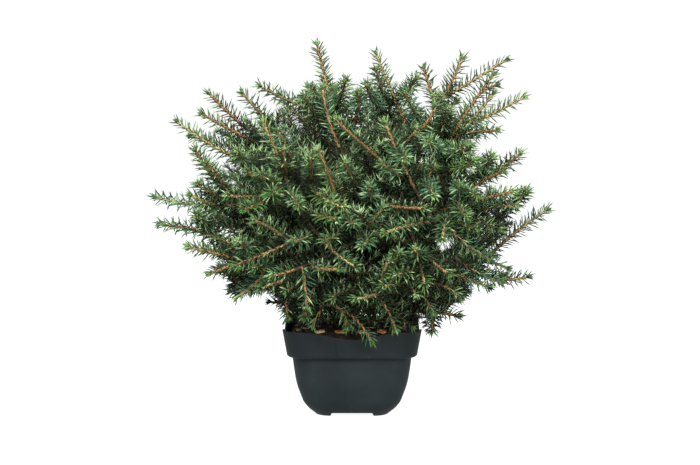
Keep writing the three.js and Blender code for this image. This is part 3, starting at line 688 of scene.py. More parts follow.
def reach_share(points):
    """How far out each point lies, as a share of the crown's reach in its direction."""
    arms = points - CROWN_FOOT
    lengths = np.linalg.norm(arms, axis=1)
    rises = np.degrees(np.arcsin(arms[:, 2] / lengths))
    return lengths / reach_at(rises)


def camera_axes():
    forward = np.array([0, math.cos(CAMERA_PITCH), -math.sin(CAMERA_PITCH)])
    return forward, ACROSS, np.cross(ACROSS, forward)


def project(points):
    """Pixel across, pixel down and distance of each point, as the photograph's camera sees it."""
    forward, across, above = camera_axes()
    arms = points - CAMERA_PLACE
    depth = arms @ forward
    seen_u = FRAME_SIZE[0] / 2 + FOCAL_PIXELS * (arms @ across) / depth
    seen_v = FRAME_SIZE[1] / 2 - FOCAL_PIXELS * (arms @ above) / depth
    return np.stack([seen_u, seen_v, depth], 1)


def pixel_way(pixel_u, pixel_v):
    """Way of the camera's ray through a pixel."""
    forward, across, above = camera_axes()
    right = across * (pixel_u - FRAME_SIZE[0] / 2) / FOCAL_PIXELS
    down = above * (pixel_v - FRAME_SIZE[1] / 2) / FOCAL_PIXELS
    return forward + right - down


def crown_point(pixel_u, pixel_v, share):
    """Point of a pixel's ray where it meets a share of the crown's reach, or comes nearest to it."""
    points = CAMERA_PLACE + RAY_STEPS[:, None] * pixel_way(pixel_u, pixel_v)
    shares = reach_share(points)
    inside = np.nonzero(shares <= share)[0]
    return points[inside[0]] if len(inside) else points[shares.argmin()]


def shown_aim(row):
    """Tip and foot of a shown shoot, on the crown's surface and a little inside it."""
    tip_u, tip_v, foot_u, foot_v = row
    tip = crown_point(tip_u, tip_v, SHOWN_TIP_SHARE)
    foot = crown_point(foot_u, foot_v, SHOWN_FOOT_SHARE)
    return tip - SHOWN_SETBACK * unit(tip - foot), foot


def plane_point(pixel_u, pixel_v, front):
    """Point of a pixel's ray at a distance in front of the trunk."""
    way = pixel_way(pixel_u, pixel_v)
    return CAMERA_PLACE + way * (-front - CAMERA_PLACE[1]) / way[1]


def hung_aim(row):
    """Tip and foot of a shoot that hangs at the rim's front."""
    tip_u, tip_v, foot_u, foot_v, front = row
    return plane_point(tip_u, tip_v, front), plane_point(foot_u, foot_v, front)


def inside_circles(points, circles, room):
    """Which points the camera sees inside one of the circles, widened by the room."""
    seen = project(points)
    circles = np.array(circles, float)
    apart = np.hypot(seen[:, None, 0] - circles[:, 0], seen[:, None, 1] - circles[:, 1])
    return (apart < circles[:, 2] + room).any(1)


def in_shown_sky(points):
    return bool(inside_circles(points, SHOWN_SKY, SKY_ROOM).any())


def in_dark_gap(points):
    near = (points[:, 1] < 0) & (reach_share(points) > GAP_DEPTH)
    return bool((near & inside_circles(points, DARK_GAPS, GAP_ROOM)).any())


def same_place(point, others):
    """Whether the camera sees a point close to one of the others, at about the same distance."""
    here, seen = project(point)[0], project(others)
    close = np.hypot(seen[:, 0] - here[0], seen[:, 1] - here[1]) < TWIN_PIXELS
    return bool((close & (abs(seen[:, 2] - here[2]) < TWIN_DEPTH)).any())


class Shoot:
    """A curve with its mass and kind; its foot, up to its shade share, lies in the crown's shade and gets
    painted shade.
    """

    def __init__(self, curve, start, mass, kind):
        self.curve = curve
        self.start = start
        self.mass = mass
        self.kind = kind
        self.length = curve.length() * (1 - start)
        self.samples = curve.point(np.linspace(start, 1, SHOOT_SAMPLES + 1))
        self.shade_share = SHADE_SHARE[kind]


def shortened(shoot, share):
    """The same shoot, ending at a share of its curve."""
    curve = shoot.curve
    cut = Curve(curve.start, curve.start + share * (curve.bend - curve.start), curve.point(share))
    return Shoot(cut, shoot.start / share, shoot.mass, shoot.kind)


class Crown:
    """The trunk, the axes of the boughs with their masses, and the shoots of each mass."""

    def __init__(self):
        draw = seeded_random(SEED)
        self.trunk = Curve(TRUNK_FOOT, TRUNK_BEND, LEADER_TIP)
        tips = spread_tips(draw)
        left = snap_tips(tips)
        self.curves = [bough_curve(self.trunk, tip, order) for order, tip in enumerate(tips)]
        self.curves.append(self.trunk)
        self.axes = np.array([curve.point(np.linspace(0, 1, AXIS_SAMPLES + 1)) for curve in self.curves])
        self.masses = []
        for index, curve in enumerate(self.curves):
            share = BOUGH_SHARE if index < BOUGH_COUNT else TRUNK_SHARE
            self.masses.append([Shoot(curve, share + CLEARANCE / curve.length(), index, "stem")])
        for tip in left + CROWN_TIPS + FRONT_TIPS + BACK_TIPS:
            self.grow_named(np.array(tip, float))
        for owner in range(len(self.masses)):
            self.grow_whorls(owner, draw)

    def gaps_to_axes(self, points):
        """Distance from each point to each mass's axis."""
        apart = points[:, None, None, :] - self.axes[None]
        return np.sqrt((apart**2).sum(-1).min(2))

    def mass_at(self, tip):
        return int(self.gaps_to_axes(tip[None])[0].argmin())

    def fits(self, curve, owner, parent, strict):
        """Whether a shoot keeps clear of the pot, the gaps of sky, the other masses and its neighbours."""
        points = curve.point(TESTED_PLACES)
        if not over_pot(points, SHOOT_ROOM).all() or in_sky_gap(points).any():
            return False
        if strict and not (reach_share(points) < INNER_REACH).all():
            return False
        gaps = self.gaps_to_axes(points)
        own = gaps[:, owner].copy()
        gaps[:, owner] = np.inf
        if ((gaps.min(1) - own) < CELL_MARGIN).any():
            return False
        for other in self.masses[owner]:
            room = PARENT_SPACING if other is parent else SHOOT_SPACING
            if (gap_to(points, other.samples) < room).any():
                return False
        return True

    def grow_named(self, tip):
        """A side shoot to a tip that is given, from the whorl that lets it through."""
        owner = self.mass_at(tip)
        stem = self.masses[owner][0]
        for whorl in NAMED_WHORLS:
            curve = arched_curve(stem.curve.point(fork_place(stem, WHORLS[whorl])), tip, NAMED_SHOOT_ARCH)
            length = np.linalg.norm(curve.end - curve.start)
            if length < LONGEST_NAMED_SHOOT and self.fits(curve, owner, stem, False):
                self.masses[owner].append(Shoot(curve, 0, owner, "side"))
                return

    def grow_whorls(self, owner, draw):
        stem = self.masses[owner][0]
        for share in WHORLS:
            first_turn = TAU * draw()
            for index in range(WHORL_SHOOTS):
                turn = first_turn + TAU * index / WHORL_SHOOTS + TURN_SPREAD * (draw() - 0.5)
                spread = LENGTH_LEAST + LENGTH_SPREAD * draw()
                full = SIDE_SHOOT_LENGTH * (1 - SIDE_SHOOT_FADE * share) * spread
                for part in LENGTH_TRIES:
                    curve = side_curve(stem.curve, fork_place(stem, share), turn, full * part)
                    if full * part > SHORTEST_SHOOT and self.fits(curve, owner, stem, True):
                        self.masses[owner].append(Shoot(curve, 0, owner, "side"))
                        break


def fork_place(stem, share):
    return stem.start + (1 - stem.start) * share


def side_curve(parent, fork, turn, length):
    start = parent.point(fork)
    forward = parent.tangent(fork)
    side = sideways(forward)
    out = side * math.cos(turn) + np.cross(forward, side) * math.sin(turn)
    first = forward * math.cos(FORK_ANGLE) + out * math.sin(FORK_ANGLE)
    second = unit(first + FORWARD_BEND * forward)
    bend = start + first * length / 2
    return Curve(start, bend, bend + second * length / 2)


# Finer twigs by the same rule

class Thicket:
    """All the shoots so far, with points along them for keeping new ones apart."""

    def __init__(self, crown):
        self.crown = crown
        self.shoots = []
        self.points = np.empty((0, 3))
        self.owners = np.empty(0, int)
        self.aims = [(*shown_aim(row), "shown") for row in SHOWN_SHOOTS]
        self.aims += [(*hung_aim(row), "hung") for row in HUNG_SHOOTS]
        self.shown = np.vstack([project(foot + (tip - foot) * SHOWN_MARKS) for tip, foot, _ in self.aims])
        for curve in crown.curves:
            share = BOUGH_SHARE if curve is not crown.trunk else TRUNK_SHARE
            self.add_points(curve.point(np.linspace(0, share, LIMB_MARKS)), ON_LIMB)
        for mass in crown.masses:
            for shoot in mass:
                if shoot.kind == "stem":
                    self.add(shortened(shoot, TWIN_STEM_SHARE) if self.is_twin(shoot) else shoot)
                elif not (self.out_of_place(shoot.curve) or self.is_twin(shoot)):
                    self.add(shoot)

    def is_twin(self, shoot):
        """Whether a shoot ends where the photograph shows another one."""
        return same_place(shoot.curve.end[None], np.array([tip for tip, _, _ in self.aims]))

    def add_points(self, points, owner):
        self.points = np.vstack([self.points, points])
        self.owners = np.append(self.owners, np.full(len(points), owner))

    def add(self, shoot):
        self.add_points(shoot.samples[::2], len(self.shoots))
        self.shoots.append(shoot)

    def hides_shown(self, points):
        """Whether a shoot would pass in front of one that stands out in the photograph."""
        seen = project(points)
        apart = np.hypot(*(seen[:, None, :2] - self.shown[None, :, :2]).transpose(2, 0, 1))
        nearer = seen[:, None, 2] < self.shown[None, :, 2] - GUARD_DEPTH
        return bool(((apart < SHOWN_GUARD) & nearer).any())

    def out_of_place(self, curve):
        along = curve.point(GUARDED_PLACES)
        return self.hides_shown(along) or in_shown_sky(along) or in_dark_gap(along)

    def grow_shown(self):
        """Shoots that are placed where the photograph shows them, rooted on the nearest limb."""
        for tip, foot, kind in self.aims:
            depth = np.linalg.norm(foot - CROWN_FOOT)
            inward = np.linalg.norm(self.points - CROWN_FOOT, axis=1)
            gaps = np.linalg.norm(self.points - foot, axis=1)
            behind = (self.points - foot) @ unit(foot - tip)
            usable = (inward < depth) & (gaps < SHOWN_LONGEST_ROOT)
            cost = np.where(usable, gaps - BEHIND_WORTH * behind, np.inf)
            if usable.any():
                curve = Curve(self.points[cost.argmin()], foot, tip)
                shoot = Shoot(curve, 0, self.crown.mass_at(tip), kind)
                # The shoot's part up to its foot gets painted shade
                shoot.shade_share = max(0, 1 - SHOWN_LEAFY * np.linalg.norm(tip - foot) / shoot.length)
                self.add(shoot)

    def has_room(self, curve, owner, room, reach):
        points = curve.point(TESTED_PLACES)
        if not over_pot(points, SHOOT_ROOM).all() or in_sky_gap(points).any():
            return False
        if self.out_of_place(curve) or (reach_share(points) > reach).any():
            return False
        own = self.owners == owner
        if (gap_to(points, self.points[~own]) < room).any():
            return False
        return not own.any() or not (gap_to(points[1:], self.points[own]) < room).any()

    def sprout(self, owner, mass, limb, place, turn, growth):
        """A shoot off a limb, shorter with each try until it has room."""
        longest, reach, kind = growth
        full = longest * (LENGTH_LEAST + LENGTH_SPREAD * random.random())
        for part in LENGTH_TRIES:
            curve = side_curve(limb, place, turn, full * part)
            if full * part > SHORTEST_SHOOT and self.has_room(curve, owner, FINE_SPACING, reach):
                self.add(Shoot(curve, 0, mass, kind))
                return

    def grow_whorl(self, owner, mass, limb, place, growth):
        first = TAU * random.random()
        for step in range(FINE_WHORL_SHOOTS):
            self.sprout(owner, mass, limb, place, first + TAU * step / FINE_WHORL_SHOOTS, growth)

    def grow_whorls(self):
        """Whorls on the stems of the masses, then on the boughs."""
        for index, shoot in enumerate(list(self.shoots)):
            if shoot.kind == "stem":
                for share in FINE_WHORLS:
                    self.grow_whorl(index, shoot.mass, shoot.curve, fork_place(shoot, share), STEM_GROWTH)
        for mass, curve in enumerate(self.crown.curves[:BOUGH_COUNT]):
            for share in BOUGH_WHORLS:
                self.grow_whorl(ON_LIMB, mass, curve, BOUGH_SHARE * share, BOUGH_GROWTH)

    def grow_laterals(self):
        """A pair of laterals on each side shoot that is long enough."""
        for index, shoot in enumerate(list(self.shoots)):
            if shoot.kind == "side" and shoot.length >= LATERAL_LIMB:
                for sign in (-1, 1):
                    turn = sign * TAU / 4 + LATERAL_TURN_SPREAD * (random.random() - 0.5)
                    self.sprout(index, shoot.mass, shoot.curve, LATERAL_PLACE, turn, LATERAL_GROWTH)

    def fill(self):
        """Shoots into the places that are still empty, layer by layer, then low down and behind the rim."""
        for share, count in FILL_LAYERS:
            for index in range(count):
                rise = math.degrees(math.asin(FILL_LOWEST + FILL_SPAN * (index + 0.5) / count))
                way = direction_of(index * GOLDEN_ANGLE + 360 * share, rise)
                part = share + FILL_LOOSENESS * (random.random() - 0.5)
                if share < BARE_FRONT_SHARE or way[1] > 0:
                    self.fill_place(CROWN_FOOT + part * reach_at(rise) * way)
        for share in LOW_SHARES:
            for index in range(LOW_FILL_COUNT):
                rise = LOW_RISE + LOW_RISE_SPREAD * random.random()
                way = direction_of(index * GOLDEN_ANGLE, rise)
                self.fill_place(CROWN_FOOT + share * reach_at(rise) * way)
        for index in range(HANGING_COUNT):
            across = HANGING_HALF_WIDTH * (2 * (index + random.random()) / HANGING_COUNT - 1)
            height = HANGING_LOW + HANGING_SPREAD * random.random()
            self.fill_place(np.array([across, HANGING_BEHIND, height]), HANGING_REACH)

    def fill_place(self, tip, reach=1):
        """A shoot to a place with nothing near it, from the nearest limb further in that has room."""
        gaps = np.linalg.norm(self.points - tip, axis=1)
        room = FILL_GAP[0] + FILL_GAP[1] * reach_share(tip[None])[0]
        if not over_pot(tip[None], SHOOT_ROOM).all() or gaps.min() < room:
            return
        inward = np.linalg.norm(self.points - CROWN_FOOT, axis=1)
        depth = np.linalg.norm(tip - CROWN_FOOT)
        near = (gaps > FILL_SHORTEST) & (gaps < FILL_LONGEST)
        roots = np.nonzero(near & (inward < depth - FILL_INWARD * gaps))[0]
        for root in roots[np.argsort(gaps[roots])][:FILL_TRIES]:
            curve = arched_curve(self.points[root], tip, FILL_ARCH)
            if self.has_room(curve, self.owners[root], FILL_SPACING, reach):
                self.add(Shoot(curve, 0, self.crown.mass_at(tip), "fine"))
                return


# Mesh helpers

class Pile:
    """Points and faces of many small bodies that are joined into one mesh."""

    def __init__(self):
        self.points = []
        self.faces = []
        self.finishes = []
        self.count = 0

    def add(self, points, faces, finish):
        self.points.append(points)
        self.faces.append(faces + self.count)
        self.finishes.append(np.broadcast_to(finish, len(faces)))
        self.count += len(points)

    def piece(self, name, materials, slot, nodes, smooth=True):
        return make_piece(
            name, np.vstack(self.points), np.vstack(self.faces),
            np.concatenate(self.finishes), materials, nodes, smooth,
        )


def make_piece(name, points, faces, finishes, materials, nodes, smooth=True):
    mesh = bpy.data.meshes.new(name)
    corners = faces.shape[1]
    mesh.vertices.add(len(points))
    mesh.vertices.foreach_set("co", (points * MM).astype(np.float32).ravel())
    mesh.loops.add(faces.size)
    mesh.loops.foreach_set("vertex_index", faces.astype(np.int32).ravel())
    mesh.polygons.add(len(faces))
    mesh.polygons.foreach_set("loop_start", np.arange(0, faces.size, corners, dtype=np.int32))
    mesh.polygons.foreach_set("material_index", np.asarray(finishes, np.int32))
    mesh.polygons.foreach_set("use_smooth", np.full(len(faces), smooth))
    for material in materials:
        mesh.materials.append(material)
    mesh.update(calc_edges=True)
    mesh.validate()
    piece = bpy.data.objects.new(name, mesh)
    bpy.context.scene.collection.objects.link(piece)
    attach(piece, "root")
    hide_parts(*nodes)
    return piece


def ring_faces(rings, sides):
    """Triangles between rings of equally many points, with a fan to a point after them at each end."""
    ring, side = np.meshgrid(np.arange(rings - 1), np.arange(sides), indexing="ij")
    low = (ring * sides + side).ravel()
    low_next = (ring * sides + (side + 1) % sides).ravel()
    here = np.arange(sides)
    after = (here + 1) % sides
    last = (rings - 1) * sides
    middle = np.full(sides, rings * sides)
    return np.vstack([
        np.stack([low, low_next, low_next + sides], 1),
        np.stack([low, low_next + sides, low + sides], 1),
        np.stack([middle, after, here], 1),
        np.stack([middle + 1, last + here, last + after], 1),
    ])


def closed_piece(name, points, sides, material, node):
    """Body through rings of so many points each, with its two middle points at the end of the list."""
    faces = ring_faces((len(points) - 2) // sides, sides)
    return make_piece(name, points, faces, np.zeros(len(faces)), [material], [node])


def limb_mesh(curve, places, sides, radii, relief=1):
    """Tube along a curve, with a radius at each place and a relief factor at each point."""
    centres = curve.point(places)
    ways = curve.tangent(places)
    first = sideways(ways[0])
    level = unit(first - (ways @ first)[:, None] * ways)
    across = np.cross(ways, level)
    turns = TAU * np.arange(sides)[:, None] / sides
    ring = level[:, None] * np.cos(turns) + across[:, None] * np.sin(turns)
    size = np.asarray(radii, float)[:, None] * relief
    points = centres[:, None] + ring * size[..., None]
    return np.vstack([points.reshape(-1, 3), centres[0], centres[-1]]), ring_faces(len(places), sides)


def lattice_noise(points, scale, seed):
    """Smooth noise between 0 and 1 at points, with cells of the scale's size."""
    cells = points / scale
    low = np.floor(cells).astype(np.int64)
    part = cells - low
    part = part * part * (3 - 2 * part)
    total = np.zeros(len(points))
    for corner in range(8):
        step = np.array([corner & 1, corner >> 1 & 1, corner >> 2 & 1])
        mixed = np.bitwise_xor.reduce((low + step) * CELL_PRIMES, axis=1) ^ (seed * SEED_PRIME)
        mixed = (mixed ^ (mixed >> 13)) * MIX_PRIME & WORD
        value = ((mixed ^ (mixed >> 16)) & VALUE_BITS) / VALUE_BITS
        total += np.prod(np.where(step, part, 1 - part), axis=1) * value
    return total


# Materials

def noise_node(nodes, links, coordinates, scale):
    node = nodes.new("ShaderNodeTexNoise")
    node.inputs["Scale"].default_value = scale
    node.inputs["Detail"].default_value = NOISE_DETAIL
    links.new(coordinates, node.inputs["Vector"])
    return node.outputs["Fac"]


def make_material(name, colours, scale, roughness, relief, relief_scale, specular):
    """Surface whose colour runs through the colours by noise, with noise in its roughness and relief."""
    material = bpy.data.materials.new(name)
    material.use_nodes = True
    nodes, links = material.node_tree.nodes, material.node_tree.links
    shader = nodes["Principled BSDF"]
    place = nodes.new("ShaderNodeTexCoord").outputs["Object"]
    ramp = nodes.new("ShaderNodeValToRGB")
    elements = ramp.color_ramp.elements
    while len(elements) < len(colours):
        elements.new(0.5)
    for element, step, colour in zip(elements, np.linspace(*RAMP_SPAN, len(colours)), colours):
        element.position = step
        element.color = (*colour, 1)
    links.new(noise_node(nodes, links, place, scale), ramp.inputs["Fac"])
    links.new(ramp.outputs["Color"], shader.inputs["Base Color"])
    rough = nodes.new("ShaderNodeMapRange")
    rough.inputs["To Min"].default_value, rough.inputs["To Max"].default_value = roughness
    links.new(noise_node(nodes, links, place, scale * ROUGHNESS_FINENESS), rough.inputs["Value"])
    links.new(rough.outputs["Result"], shader.inputs["Roughness"])
    bump = nodes.new("ShaderNodeBump")
    bump.inputs["Strength"].default_value = relief
    bump.inputs["Distance"].default_value = RELIEF_DISTANCE
    links.new(noise_node(nodes, links, place, relief_scale), bump.inputs["Height"])
    links.new(bump.outputs["Normal"], shader.inputs["Normal"])
    shader.inputs["Specular IOR Level"].default_value = specular
    return material


# Needles

def is_outer(shoot):
    """Whether a shoot shows from outside; the ones at the rim's front always do."""
    if shoot.kind == "hung":
        return True
    return shoot.kind in OUTER_KINDS and reach_share(shoot.samples[-1:])[0] > OUTER_SHARE


def cone_way(forward, out, angle):
    return forward * np.cos(angle)[:, None] + out * np.sin(angle)[:, None]


def needle_points(bases, forward, out, angles, lengths, widths):
    """Seven points of each needle: three at its root, three at its shoulder and its tip."""
    low_way = cone_way(forward, out, angles + math.radians(NEEDLE_BEND))
    tip_way = cone_way(forward, out, angles)
    helper = np.where((abs(low_way[:, 2]) < STEEP_NEEDLE)[:, None], UP, forward)
    top = unit(helper - (helper * low_way).sum(1, keepdims=True) * low_way)
    half = (widths / 2)[:, None]
    side = np.cross(low_way, top) * half
    ridge = top * (half * (2 * NEEDLE_THICKNESS / NEEDLE_WIDTH))
    shoulder = bases + low_way * (lengths * NEEDLE_SHOULDER)[:, None]
    rows = [bases + part * NEEDLE_ROOT_SHARE for part in (side, -side, ridge)]
    rows += [shoulder + part for part in (side, -side, ridge)]
    rows.append(bases + tip_way * lengths[:, None])
    return np.stack(rows, 1)


def shoot_needles(shoot):
    """Needles of one shoot: spread to both sides where it lies flat, and all round where it stands."""
    outer = is_outer(shoot)
    room = shoot.length - BARE_ROOT
    count = max(LEAST_NEEDLES, int(room / (OUTER_SPACING if outer else INNER_SPACING)))
    along = BARE_ROOT + room * (np.arange(count) + 0.5) / count
    share = along / shoot.length
    places = shoot.start + (1 - shoot.start) * share
    forward = shoot.curve.tangent(places)
    out = comb_ways(forward, np.radians(GOLDEN_ANGLE) * np.arange(count) + TAU * random.random())
    spread = random.normal(0, 1, (count, 3))
    tip_share = np.clip((along - shoot.length + TIP_CLOSING) / TIP_CLOSING, 0, 1)
    angles = NEEDLE_ANGLE + (TIP_NEEDLE_ANGLE - NEEDLE_ANGLE) * tip_share + ANGLE_SPREAD * spread[:, 0]
    fullness = END_LENGTH + MIDDLE_LENGTH * np.sin(math.pi * np.clip(share, 0, 1)) ** 0.5
    lengths = NEEDLE_LENGTH * (1 + NEEDLE_LENGTH_SPREAD * spread[:, 1]) * fullness
    widths = NEEDLE_WIDTH * (SLIM_OUTER if outer else 1) * (1 + NEEDLE_WIDTH_SPREAD * spread[:, 2])
    points = needle_points(shoot.curve.point(places), forward, out, np.radians(angles), lengths, widths)
    return np.vstack([points, tuft_needles(shoot)]), np.append(share, np.ones(TUFT_NEEDLES))


def comb_ways(forward, turns):
    """Ways out of a twig at turns round it, pressed towards its two sides where it lies flat."""
    helper = np.where((abs(forward[:, 2]) < STEEP_SHOOT)[:, None], UP, ACROSS)
    level = unit(np.cross(forward, helper))
    above = np.cross(level, forward)
    flatness = np.clip((COMB_UPRIGHT - abs(forward[:, 2])) / COMB_TURN, 0, 1)
    rise = np.sin(turns)
    comb = np.where(rise > 0, COMB_ABOVE, COMB_BELOW) * flatness
    return unit(level * np.cos(turns)[:, None] + above * (rise * (1 - comb))[:, None])


def tuft_needles(shoot):
    """Needles that close round the bud at a shoot's tip."""
    forward = np.repeat(shoot.curve.tangent(1)[None], TUFT_NEEDLES, 0)
    level = sideways(forward[0])
    above = np.cross(forward[0], level)
    turns = np.radians(GOLDEN_ANGLE) * np.arange(TUFT_NEEDLES) + TAU * random.random()
    out = level * np.cos(turns)[:, None] + above * np.sin(turns)[:, None]
    angles = np.radians(TUFT_ANGLES[0] + TUFT_ANGLES[1] * random.random(TUFT_NEEDLES))
    lengths = NEEDLE_LENGTH * (TUFT_LENGTHS[0] + TUFT_LENGTHS[1] * random.random(TUFT_NEEDLES))
    bases = shoot.curve.end - forward * (TUFT_DEPTH * random.random((TUFT_NEEDLES, 1)))
    widths = np.full(TUFT_NEEDLES, TUFT_WIDTH * NEEDLE_WIDTH)
    return needle_points(bases, forward, out, angles, lengths, widths)


def shoot_depth(shoot):
    """Share of the crown's reach at a shoot's tip, less for hidden shoots and low ones."""
    depth = 1 if shoot.kind == "hung" else float(reach_share(shoot.samples[-1:])[0])
    if shoot.kind in ("fine", "lateral"):
        depth -= HIDDEN_SHADE
        depth -= LOW_SHADE * float(np.clip((SHADE_TOP - shoot.curve.end[2]) / SHADE_TOP, 0, 1))
    return depth


def spray_tone(depth, deal):
    dealt = next(tones for limit, tones in SPRAY_TONES if depth < limit)
    return next(tone for limit, tone in dealt if deal < limit)


def needle_tones(shoot, share, depth):
    """Tone of each needle: one for the spray, fresher at its tip, painted shade deep in the crown's inside
    and on the shaded foot, and dark and pale speckles of painted shade and painted highlight.
    """
    tones = np.full(len(share), spray_tone(depth, random.random()))
    fresh_from = FRESH_FROM if depth > MIDDLE_DEPTH else INNER_FRESH_FROM
    mixed = random.random(len(share))
    if depth > INSIDE_DEPTH:
        fresh = FRESH if depth > FRESH_DEPTH and random.random() < FRESH_SPRAYS else GREEN
        tones[(share > fresh_from) & (mixed < FRESH_BELOW)] = fresh
    stray = GREEN if depth > SPECKLED_DEPTH else MID if depth > INSIDE_DEPTH else PAINTED_SHADE
    tones[(mixed > STRAY_FROM) & (share <= fresh_from)] = stray
    if depth > SPECKLED_DEPTH:
        # painted shade on some outer needles, then a painted highlight on others
        tones[(mixed > DARK_FROM) & (mixed < PALE_FROM)] = PAINTED_SHADE
        tones[(mixed > PALE_FROM) & (mixed < STRAY_FROM)] = UNDERSIDE_AND_HIGHLIGHT
    # painted shade on the shoot's shaded foot
    tones[share < shoot.shade_share + SHADED_FOOT * random.random(len(share))] = PAINTED_SHADE
    return tones


def plain_needles(points):
    """The same needles without shoulders, and as wide at the root as they were in the middle."""
    roots = points[:, :3]
    middle = roots.mean(1, keepdims=True)
    plain = points[:, PLAIN_NEEDLE_POINTS]
    plain[:, :3] = middle + PLAIN_ROOT_WIDENING * (roots - middle)
    return plain


def needle_part(shoot):
    """Points, faces and tones of a shoot's needles; the ones inside the crown are plainer."""
    points, share = shoot_needles(shoot)
    tones = needle_tones(shoot, share, shoot_depth(shoot))
    faces, underside = NEEDLE_FACES, NEEDLE_UNDERSIDE
    if not is_outer(shoot):
        points = plain_needles(points)
        faces, underside = PLAIN_NEEDLE_FACES, PLAIN_NEEDLE_UNDERSIDE
    finishes = np.repeat(tones[:, None], len(faces), 1)
    finishes[:, underside] = UNDERSIDE_AND_HIGHLIGHT
    firsts = points.shape[1] * np.arange(len(points))[:, None, None]
    return points.reshape(-1, 3), (faces[None] + firsts).reshape(-1, 3), finishes.ravel()


def node_of(mass):
    return f"foliage_{mass + 1:02d}" if mass < BOUGH_COUNT else "foliage_leader"


def make_needles(shoots, materials):
    """Pieces of needles, each of as many masses as it has room for; gives the masses of each."""
    by_mass = {}
    for shoot in shoots:
        by_mass.setdefault(shoot.mass, []).append(needle_part(shoot))
    groups, room = [], 0
    for mass in sorted(by_mass):
        count = sum(len(faces) for _, faces, _ in by_mass[mass])
        if not groups or room + count > MOST_PIECE_FACES:
            groups.append([])
            room = 0
        groups[-1].append(mass)
        room += count
    for order, group in enumerate(groups):
        pile = Pile()
        for mass in group:
            for part in by_mass[mass]:
                pile.add(*part)
        pile.piece(f"needles_{order + 1:02d}", materials, "needles", [node_of(mass) for mass in group])
    return groups


# Twigs

def twig_radii(shoot, shares):
    if shoot.kind == "stem":
        root = BOUGH_TIP_RADIUS if shoot.mass < BOUGH_COUNT else LEADER_ROOT_RADIUS
        return STEM_TIP_RADIUS + (root - STEM_TIP_RADIUS) * (1 - shares) ** STEM_TAPER
    root, tip = TWIG_RADII[shoot.kind]
    return tip + (root - tip) * (1 - shares)


def twig_finish(shoot, rings):
    """Bark of each face: brown on the shaded foot, then orange, then the twig's own tone; the brown is
    darkened as painted shade, and inner twigs have it throughout.
    """
    if is_outer(shoot):
        tone = TAN if shoot.kind != "hung" and random.random() < TAN_TWIGS else ORANGE
        low_tone = ORANGE
    else:
        # twigs inside the crown: brown with painted shade throughout
        tone = low_tone = BROWN_IN_SHADE
    between = np.concatenate([np.repeat(np.arange(rings - 1), TWIG_SIDES)] * 2)
    share = np.append(between / (rings - 1), np.repeat([0.0, 1.0], TWIG_SIDES))
    middle = (1 + 2 * shoot.shade_share) / 3
    return np.where(share < shoot.shade_share, BROWN_IN_SHADE, np.where(share < middle, low_tone, tone))


def add_twig(pile, shoot):
    """A twig, rough with the pegs that needles leave, and the bud at its tip."""
    rings = max(LEAST_TWIG_RINGS, int(shoot.length / TWIG_STEP) + 1)
    shares = np.linspace(0, 1, rings)
    places = shoot.start + (1 - shoot.start) * shares
    pegs = np.indices((rings, TWIG_SIDES)).sum(0) % 2
    roughness = TWIG_ROUGHNESS * random.normal(0, 1, (rings, TWIG_SIDES))
    relief = 1 + TWIG_RELIEF * (2 * pegs - 1) + roughness
    points, faces = limb_mesh(shoot.curve, places, TWIG_SIDES, twig_radii(shoot, shares), relief)
    pile.add(points, faces, twig_finish(shoot, rings))
    end, way = shoot.curve.end, shoot.curve.tangent(1)
    bud = Curve(end, end + BUD_BEND * way, end + BUD_END * way)
    points, faces = limb_mesh(bud, BUD_PLACES, TWIG_SIDES, BUD_RADII)
    points[-1] += BUD_POINT * way
    pile.add(points, faces, BUD)


def make_twigs(shoots, groups, materials):
    for order, group in enumerate(groups):
        pile = Pile()
        for shoot in shoots:
            if shoot.mass in group:
                add_twig(pile, shoot)
        pile.piece(f"twigs_{order + 1:02d}", materials, "bark", [node_of(mass) for mass in group])


# Bark of the trunk and boughs

def bark_relief(points, scale, depth):
    """Scaly plates with cracks between them, as a factor of the radius."""
    plates = lattice_noise(points / PLATE_SHAPE, scale, seed=3)
    cracks = np.abs(lattice_noise(points / PLATE_SHAPE, scale * CRACK_SIZE, seed=5) - 0.5)
    grain = lattice_noise(points, scale * GRAIN_SIZE, seed=7)
    cut = CRACK_DEPTH * np.exp(-cracks * CRACK_SHARPNESS)
    return 1 + depth * (plates - 0.5 - cut + GRAIN_DEPTH * (grain - 0.5))


def relief_tube(pile, curve, places, radii, bark, finish):
    _, sides, scale, depth = bark
    smooth, _ = limb_mesh(curve, places, sides, radii)
    relief = bark_relief(smooth[:-2], scale, depth).reshape(len(places), sides)
    points, faces = limb_mesh(curve, places, sides, radii, relief)
    pile.add(points, faces, finish)


def trunk_radius(height):
    above = height - SOIL_TOP
    flare = (TRUNK_ROOT_RADIUS - TRUNK_RADIUS) * np.exp(-above / TRUNK_FLARE_HEIGHT)
    top = TRUNK_SHARE * (LEADER_TIP[2] - SOIL_TOP)
    share = np.minimum(1, above / top)
    return flare + TRUNK_RADIUS + (TRUNK_TIP_RADIUS - TRUNK_RADIUS) * share


def make_bark(crown, materials):
    trunk = Pile()
    places = TRUNK_SHARE * np.linspace(0, 1, TRUNK_BARK[0]) ** TRUNK_RING_SPREAD
    radii = trunk_radius(crown.trunk.point(places)[:, 2]) * TRUNK_SKIN
    relief_tube(trunk, crown.trunk, places, radii, TRUNK_BARK, 0)
    trunk.piece("trunk_bark", materials, "bark", ["trunk"])
    boughs = Pile()
    shares = np.linspace(0, 1, BOUGH_BARK[0])
    for index, curve in enumerate(crown.curves[:BOUGH_COUNT]):
        root = BOUGH_ROOT_RADIUS * (1 - TOP_BOUGH_THINNING * index / BOUGH_COUNT)
        radii = BOUGH_TIP_RADIUS + (root - BOUGH_TIP_RADIUS) * (1 - shares) ** BOUGH_TAPER
        relief_tube(boughs, curve, BOUGH_SHARE * shares, radii, BOUGH_BARK, 1)
    boughs.piece("bough_bark", materials, "bark", [f"bough_{index + 1:02d}" for index in range(BOUGH_COUNT)])


